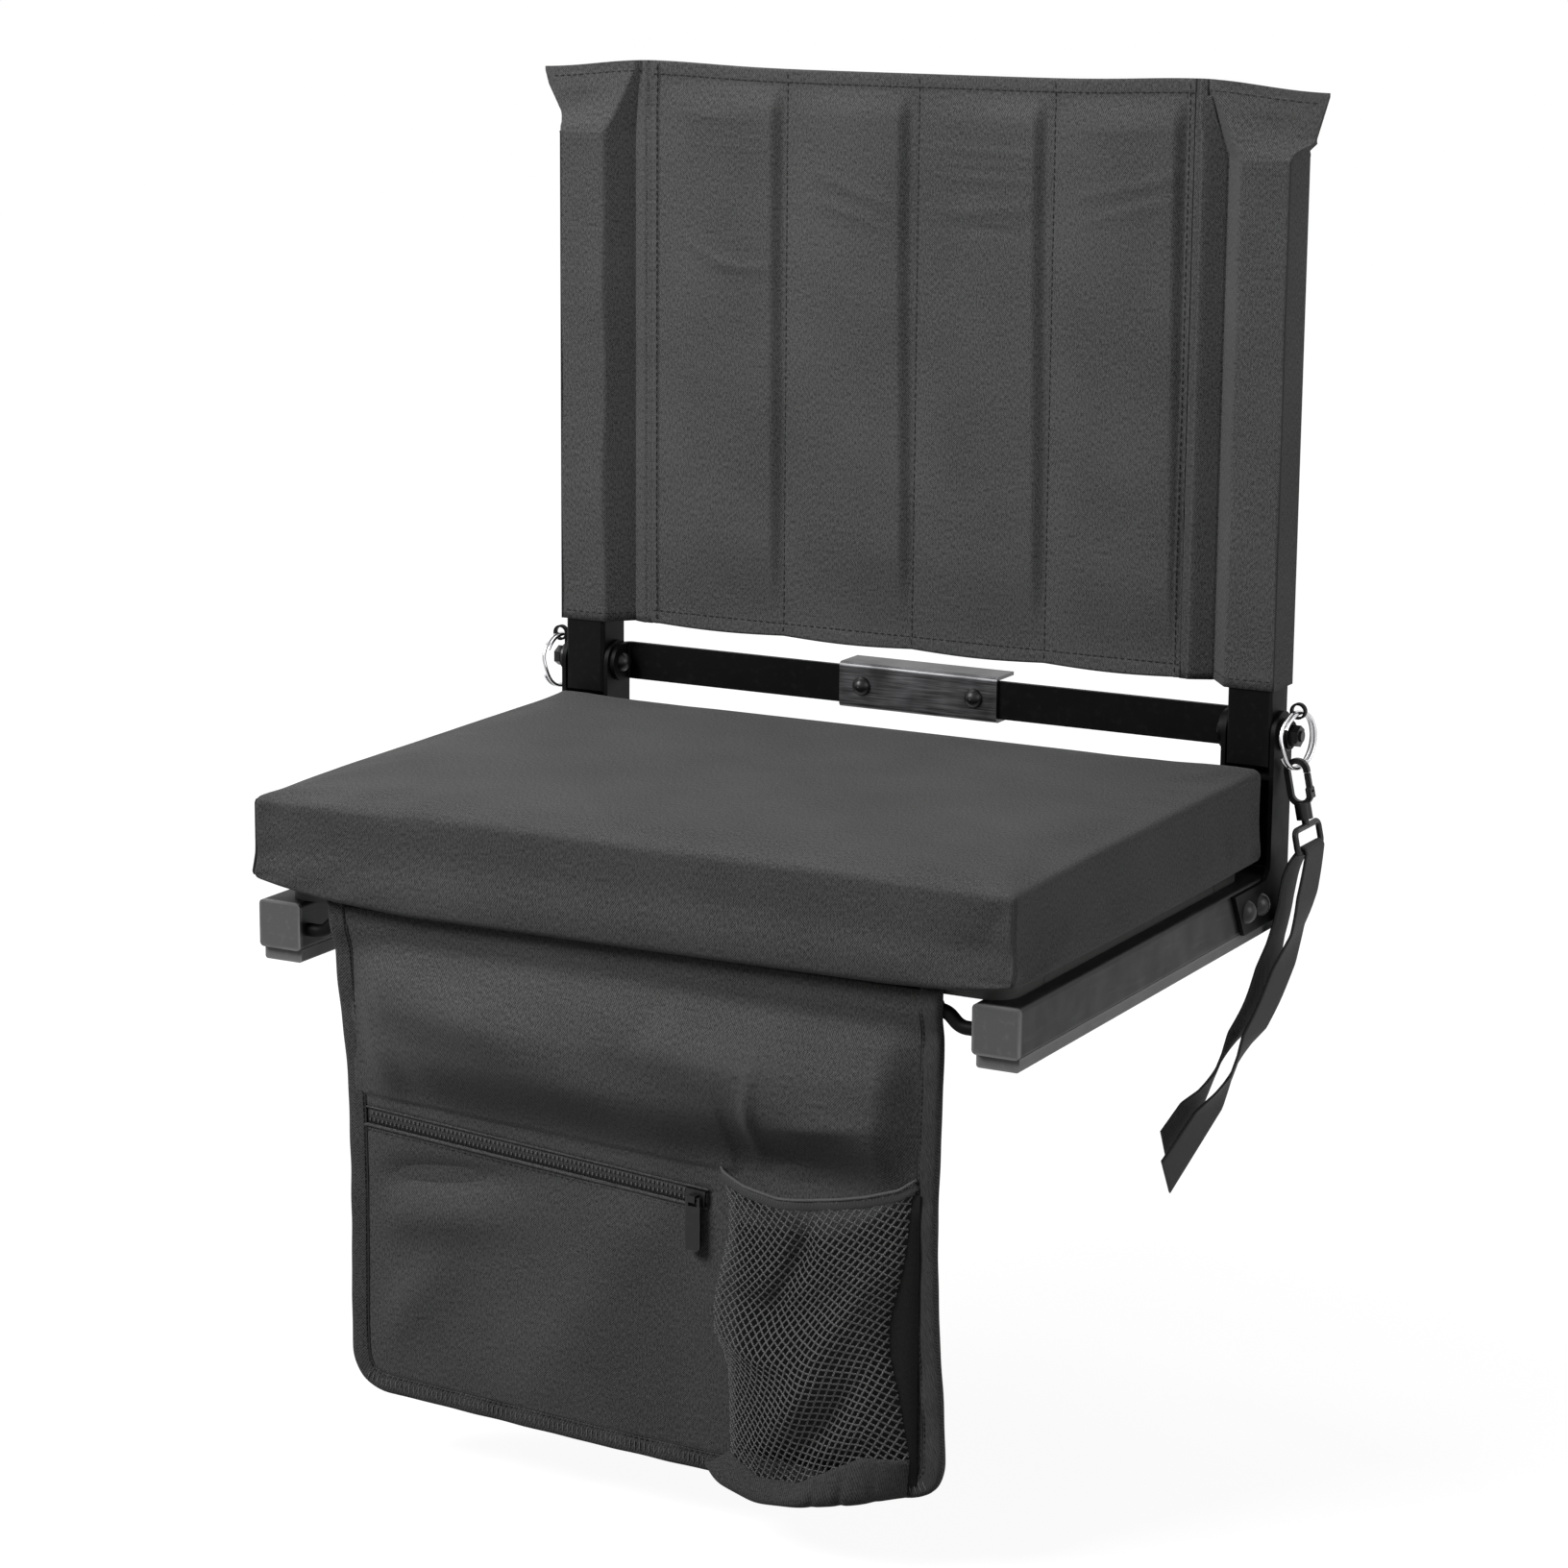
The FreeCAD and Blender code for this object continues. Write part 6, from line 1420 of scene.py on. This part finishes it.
@dataclass(frozen=True)
class NetPocket:
    """The drink pocket: a square net hung slantwise that bulges forward, a rolled hem and a cloth base."""

    sewn: float = 3.2
    swell: float = 21.0
    mesh: float = 3.5
    flatness: Span = (0.26, 0.52)
    slant: float = 35.0
    wide: float = 104.0
    tall: float = 147.0
    left: Pairs = (
        (0, 55.3), (0.15, 61.4), (0.39, 53.1), (0.54, 49), (0.66, 58.8), (0.84, 62.4), (1, 61),
    )
    right: Pairs = ((0, 160), (0.25, 157), (0.54, 146), (0.73, 153), (1, 160.5))
    top: Pairs = (
        (50, -70.6), (55.3, -72), (72.6, -75.8), (93.7, -77.2), (111.7, -75.3), (138.8, -70.3),
        (154, -66.1), (160, -61.8),
    )
    low: Pairs = ((61, -219), (84, -225), (108, -222), (125, -212), (140, -204), (160, -205))
    lip: tuple[Triple, ...] = (
        (48.0, 2.0, -226.0), (58.3, -6, -231), (84, -14, -234), (110, -18, -230), (138, -14, -224),
        (150, -7, -221.5), (159.0, 2.5, -221.0),
    )
    folds: tuple[Crease, ...] = (
        Crease(24, -60, 2, 42, 11, -8.0),
        Crease(24, -82, 0, 34, 5, 3.0),
        Crease(52, -104, 42, 36, 9, 5.0),
        Crease(80, -66, 60, 26, 9, 4.0),
        Crease(74, -112, 40, 34, 8, -6.0),
        Crease(46, -34, 70, 30, 7, -6.0),
        Crease(68, -30, -50, 24, 6, 2.4),
    )
    tucks: Pairs = ((0.60, 1.2), (0.72, 1.8), (0.86, 1.3))
    tuck_wide: float = 0.018
    bell_start: float = 0.66
    bell_more: float = 0.3
    bell_less: float = 0.22
    bell_span: Span = (0.1, 0.75)
    close_span: Span = (0.86, 1.0)
    roundness: float = 0.75
    edge_points: int = 60
    thread_step: float = 1.8
    weave: float = 0.22
    base_size: tuple[int, int] = (100, 26)
    base_start: float = 0.985
    base_rear: float = 4.4
    base_rise: float = 4.0
    base_thick: float = 0.9
    hem_points: int = 80
    hem_ends: tuple[Triple, Triple] = ((-1.0, 1.0, 1.0), (1.5, 1.0, 1.0))
    hem_half: Span = (0.9, 0.8)
    band_drop: Triple = (0.0, 0.0, 3.0)
    band_half: Span = (0.5, 2.3)
    # Painted shade: size and place of the near-black sheet behind the net.
    shade_lining_left: float = 63.5
    shade_lining_wide: float = 100.0
    shade_lining_top: float = -98.0
    shade_lining_rise: float = 30.0
    shade_lining_low: float = -216.0
    shade_lining_thick: float = 0.6
    shade_lining_lines: int = 12

    def surface(self, share: Array, down: Array) -> Array:
        """A point of the net.

        Across, X runs between the two seams' curves; Z runs from the hem's curve to the base's.
        Forward, the net stands out as a sine of the way across times a bell of the way down that is
        widest near the bottom, with folds.

        Args:
            share: way across, 0 to 1.
            down: way down, 0 to 1.

        Returns:
            Points in millimetres.
        """
        top, low = np.array(self.top, float), np.array(self.low, float)
        left, right = (spline(np.array(edge, float), self.edge_points) for edge in (self.left, self.right))
        near = np.interp(down, left[:, 0], left[:, 1])
        across = near + share * (np.interp(down, right[:, 0], right[:, 1]) - near)
        start = np.interp(across, top[:, 0], top[:, 1])
        end = np.interp(across, low[:, 0], low[:, 1])
        bell = self.bell_start + self.bell_more * smooth(*self.bell_span, down)
        bell = bell - self.bell_less * smooth(*self.close_span, down)
        sag = np.sin(np.clip(share, 0, 1) * math.pi) ** self.roundness
        crush = sum(fold.lift(share * self.wide, -down * self.tall) for fold in self.folds) * sag
        deep = self.sewn - self.swell * bell * sag - crush
        return np.stack([across, deep, start + down * (end - start)], -1)

    def normal(self, share: Array, down: Array) -> Array:
        """The net's outward direction at each point, from small steps both ways."""
        step = 0.01
        across = self.surface(share + step, down) - self.surface(share - step, down)
        along = self.surface(share, down + step) - self.surface(share, down - step)
        return unit(np.cross(along, across))

    def threads(self) -> Skin:
        """Both sets of flat threads at right angles; each crosses the other over and under."""
        skin = Skin()
        size = np.array([self.wide, self.tall])
        for lean, angle in ((1, self.slant), (-1, self.slant - 90)):
            turn = math.radians(angle)
            way = np.array([math.cos(turn), math.sin(turn)])
            aside = np.array([-way[1], way[0]])
            reach = np.array([[0, 0], [1, 0], [0, 1], [1, 1]]) * size @ aside
            for offset in np.arange(reach.min() + self.mesh / 2, reach.max(), self.mesh):
                ends = np.stack([-aside * offset / way, (size - aside * offset) / way])
                first, last = ends.min(axis=0).max(), ends.max(axis=0).min()
                if last - first < self.mesh:
                    continue
                run = np.linspace(first, last, int((last - first) / self.thread_step) + 3)
                share, down = ((aside * offset + way * run[:, None]) / size).T
                outward = self.normal(share, down)
                weave = lean * self.weave * np.cos(run / self.mesh * math.pi)
                path = self.surface(share, down) + outward * weave[:, None]
                skin.tube(path, self.flatness, 4, outward)
        return skin

    def base(self) -> Array:
        """The cloth strip under the net: parabolas from the net's edge over the lip to the bag's face."""
        columns, rows = self.base_size
        share = np.linspace(0, 1, columns)
        down = np.linspace(0, 1, rows)[None, :, None]
        upper = self.surface(share, np.full(columns, self.base_start))[:, None]
        lip = spline(np.array(self.lip), columns)[:, None]
        deep = np.full_like(lip[..., 0], self.base_rear)
        rear = np.stack([lip[..., 0], deep, lip[..., 2] + self.base_rise], -1)
        middle = 2 * lip - (upper + rear) / 2
        strip = upper * (1 - down) ** 2 + 2 * middle * down * (1 - down) + rear * down**2
        tuck = sum(depth * hump(share, at, self.tuck_wide) for at, depth in self.tucks)
        strip[..., 1] += tuck[:, None] * np.sin(down[..., 0] * math.pi)
        return strip

    def build(self) -> None:
        """Make the net, its hem, a near-black sheet behind it as painted shade, and its base."""
        net = make(self.threads(), "net_threads", NET, Body.BAG, "net", "mesh_pocket")
        count = self.hem_points
        line = self.surface(np.linspace(0, 1, count), np.zeros(count))
        first, last = np.array(self.hem_ends)
        line = np.concatenate([line[:1] + first, line, line[-1:] + last])
        hem = Skin()
        hem.tube(line, self.hem_half, 10)
        make(hem, "net_hem", HEM, Body.BAG, "bag_cloth", "mesh_hem")
        band = Skin()
        band.tube(line - np.array(self.band_drop), self.band_half, 12)
        make(band, "net_hem_band", TAPE, Body.BAG, "bag_cloth")
        # Painted shade: a near-black sheet behind the net darkens its holes, standing in for the shade
        # inside the pocket.
        shade_lining = Skin()
        steps = np.linspace(0, 1, self.shade_lining_lines)
        share, down = np.meshgrid(steps, steps, indexing="ij")
        across = self.shade_lining_left + self.shade_lining_wide * share
        head = self.shade_lining_top + self.shade_lining_rise * smooth(0.5, 1.0, share)
        up = head + down * (self.shade_lining_low - head)
        deep = np.full_like(across, self.sewn + self.shade_lining_thick)
        shade_lining.sheet(np.stack([across, deep, up], -1), self.shade_lining_thick)
        piece = make(shade_lining, "net_shade_lining_cloth", SHADE_LINING, Body.BAG, "bag_cloth")
        strip = Skin()
        strip.sheet(self.base(), self.base_thick)
        piece = make(strip, "net_base_cloth", BASE_CLOTH, Body.BAG, "bag_cloth")


# Strap


@dataclass(frozen=True)
class Strap:
    """A length of webbing folded over the strap eye's lower bar, both strands hanging and twisting."""

    bar: Triple = (235.69, 317.5, 47.05)
    turn: float = 2.75
    width: float = 25.0
    thickness: float = 1.3
    length: float = 417.0
    bias: float = 24.0
    bias_run: float = 46.0
    turn_points: int = 19
    strand_points: int = 90
    columns: int = 13
    inner: Pairs = (
        (-9.7, -7.0), (-13.7, -37.0), (-27.2, -87.0), (-49.7, -129.0), (-78.7, -177.0),
    )
    outer: Pairs = (
        (2.3, -7.0), (-2.7, -37.0), (-20.7, -89.0), (-41.2, -131.0), (-77.2, -194.0),
    )
    inner_twist: Pairs = (
        (0, 0), (30, 3), (52, 0), (66, -8), (104, -8), (115, 6), (126, 14), (138, 4), (152, -15), (206, -21),
    )
    outer_twist: Pairs = (
        (0, 0), (25, 3), (45, -6), (66, 8), (104, 8), (115, -6), (126, -14), (138, -4), (152, 15), (206, 21),
    )

    def strand(self, points: Pairs, side: float) -> Array:
        """One strand's centreline (across, up) from the bar's side down its listed points."""
        return spline(np.array([(side * self.turn, 0.0), *points]), self.strand_points)

    def build(self) -> None:
        """Carry the webbing's width along its route, turning it about the route on the way down."""
        angle = np.linspace(math.pi, 0, self.turn_points)[1:-1]
        over = np.stack([np.cos(angle), np.sin(angle)], -1) * self.turn
        inner = self.strand(self.inner, -1.0)
        outer = self.strand(self.outer, 1.0)
        route = np.concatenate([inner[::-1], over, outer])
        up = route[:, 1]
        twists = [np.interp(-up, *np.array(table).T) for table in (self.inner_twist, self.outer_twist)]
        after = np.arange(len(route)) > len(inner)
        twist = np.radians(np.where(after, twists[1], twists[0]))
        path = np.stack([route[:, 0], np.zeros_like(up), up], -1) + np.array(self.bar)
        way = unit(np.gradient(path, axis=0))
        flat = np.array(BACKWARD)
        side = unit(np.cross(way, flat))
        wide = flat * np.cos(twist)[:, None] + side * np.sin(twist)[:, None]
        aside = np.linspace(-0.5, 0.5, self.columns) * self.width
        run = arc_lengths(path)
        ends = np.clip(1 - (run[-1] - run) / self.bias_run, 0, 1) - np.clip(1 - run / self.bias_run, 0, 1)
        skew = ends[:, None] * aside / self.width * self.bias
        middle = path[:, None] + wide[:, None] * aside[:, None] + way[:, None] * skew[..., None]
        skin = Skin()
        skin.sheet(middle.swapaxes(0, 1), self.thickness)
        piece = make(skin, "strap_webbing", WEBBING, Body.STRAP, "webbing", "strap")
        log.info("strap runs %.1f mm", run[-1])


# Studio


@dataclass(frozen=True)
class Lamp:
    """A square soft lamp: its place and size in metres and its power in watts."""

    name: str
    at: Triple
    size: float
    power: float


@dataclass(frozen=True)
class Studio:
    """A white floor, soft lamps and the camera of the photograph."""

    floor: float = -262.0
    size: float = 12000.0
    lens: float = 96.84
    sensor: float = 36.0
    azimuth: float = 28.18
    elevation: float = 12.38
    roll: float = 0.45
    distance: float = 2241.2
    target: Triple = (-17.35, 200.0, 76.37)
    paper: str = "#6a6a6a"
    glow: Span = (0.92, 1.0)
    glow_span: Span = (0.4, 1.6)
    world_light: float = 0.10
    aim: Triple = (0.0, 0.15, 0.08)
    lamps: tuple[Lamp, ...] = (
        Lamp("key", (-0.95, -1.15, 1.4), 0.9, 55.0),
        Lamp("fill", (2.0, 0.0, 0.85), 1.2, 17.0),
        Lamp("top", (-0.9, 0.4, 2.1), 1.2, 16.0),
    )

    def seen(self, tree: bpy.types.NodeTree) -> bpy.types.NodeSocket:
        """1 for rays that come from the camera, a reflection or glass, else 0."""
        path = add(tree, "LightPath").outputs
        direct = {0: path["Is Camera Ray"], 1: path["Is Glossy Ray"]}
        either = add(tree, "Math", direct, operation="MAXIMUM").outputs[0]
        return add(tree, "Math", {0: either, 1: path["Is Transmission Ray"]}, operation="MAXIMUM").outputs[0]

    def white(self) -> bpy.types.Material:
        """The floor: white to the camera and in reflections, with a part that takes the shadow."""
        material, tree = new_material("white_paper_floor")
        place = add(tree, "TexCoord").outputs["Object"]
        away = add(tree, "VectorMath", {0: place}, operation="LENGTH").outputs["Value"]
        level = add(tree, "MapRange", dict(enumerate((away, *self.glow_span, *self.glow)))).outputs[0]
        glow = add(tree, "Math", {0: self.seen(tree), 1: level}, operation="MULTIPLY")
        paper = add(tree, "BsdfDiffuse", {"Color": linear(self.paper)})
        light = add(tree, "Emission", {"Color": (1, 1, 1, 1), "Strength": glow.outputs[0]})
        both = add(tree, "AddShader", {0: paper.outputs[0], 1: light.outputs[0]})
        add(tree, "OutputMaterial", {"Surface": both.outputs[0]})
        return material

    def room(self) -> None:
        """The floor and a world that is white to the camera and a plain grey light otherwise."""
        half = self.size / 2 * MM
        mesh = bpy.data.meshes.new("floor")
        corners = [(-half, -half), (half, -half), (half, half), (-half, half)]
        mesh.from_pydata([(x, y, self.floor * MM) for x, y in corners], [], [(0, 1, 2, 3)])
        mesh.materials.append(self.white())
        floor = bpy.data.objects.new("floor", mesh)
        bpy.context.scene.collection.objects.link(floor)
        world = bpy.data.worlds.new("studio")
        bpy.context.scene.world = world
        world.use_nodes = True
        tree = world.node_tree
        tree.nodes.clear()
        dim = add(tree, "Background", {"Color": (1, 1, 1, 1), "Strength": self.world_light})
        full = add(tree, "Background", {"Color": (1, 1, 1, 1), "Strength": 1.0})
        seen = self.seen(tree)
        mix = add(tree, "MixShader", {0: seen, 1: dim.outputs[0], 2: full.outputs[0]})
        add(tree, "OutputWorld", {"Surface": mix.outputs[0]})

    def light(self, lamp: Lamp) -> None:
        """Make a lamp that is aimed at the seat."""
        light = bpy.data.lights.new(lamp.name, "AREA")
        light.size = lamp.size
        light.energy = lamp.power
        piece = bpy.data.objects.new(lamp.name, light)
        way = Vector(self.aim) - Vector(lamp.at)
        piece.matrix_world = Matrix.Translation(lamp.at) @ way.to_track_quat("-Z", "Y").to_matrix().to_4x4()
        bpy.context.scene.collection.objects.link(piece)

    def camera(self) -> None:
        """The camera: it stands at the azimuth and elevation, looks at the target and rolls a little."""
        turn, rise = math.radians(self.azimuth), math.radians(self.elevation)
        away = Vector((math.sin(turn) * math.cos(rise), -math.cos(turn) * math.cos(rise), math.sin(rise)))
        right = Vector((math.cos(turn), math.sin(turn), 0))
        up = away.cross(right)
        lean = math.radians(self.roll)
        rolled = right * math.cos(lean) + up * math.sin(lean)
        upright = up * math.cos(lean) - right * math.sin(lean)
        data = bpy.data.cameras.new("camera")
        data.lens = self.lens
        data.sensor_width = self.sensor
        camera = bpy.data.objects.new("camera", data)
        at = (Vector(self.target) + away * self.distance) * MM
        basis = Matrix((rolled, upright, away)).transposed().to_4x4()
        camera.matrix_world = Matrix.Translation(at) @ basis
        bpy.context.scene.collection.objects.link(camera)
        bpy.context.scene.camera = camera

    def build(self) -> None:
        """Make the room, the lamps and the camera."""
        self.room()
        for lamp in self.lamps:
            self.light(lamp)
        self.camera()
        bpy.context.scene.view_settings.view_transform = "Standard"


def main() -> None:
    """Build every sub-assembly in order."""
    logging.basicConfig(level=logging.INFO, format="%(message)s")
    Studio().build()
    Hardware().dress()
    Cushion().build()
    SlingPanel().build()
    left_flare = ((406, 217.7), (412, 218.9), (420, 223.5), (434, 230.5), (442, 232.7))
    right_flare = ((408, 217.7), (412, 219.4), (416.5, 226.7), (442, 233.7))
    Sleeve(Side.LEFT, 164.1, left_flare, (176.5, 317.5)).build()
    Sleeve(Side.RIGHT, 159.6, right_flare, (177.0, 320.5)).build()
    Bag().build()
    NetPocket().build()
    Strap().build()


if __name__ == "__main__":
    main()
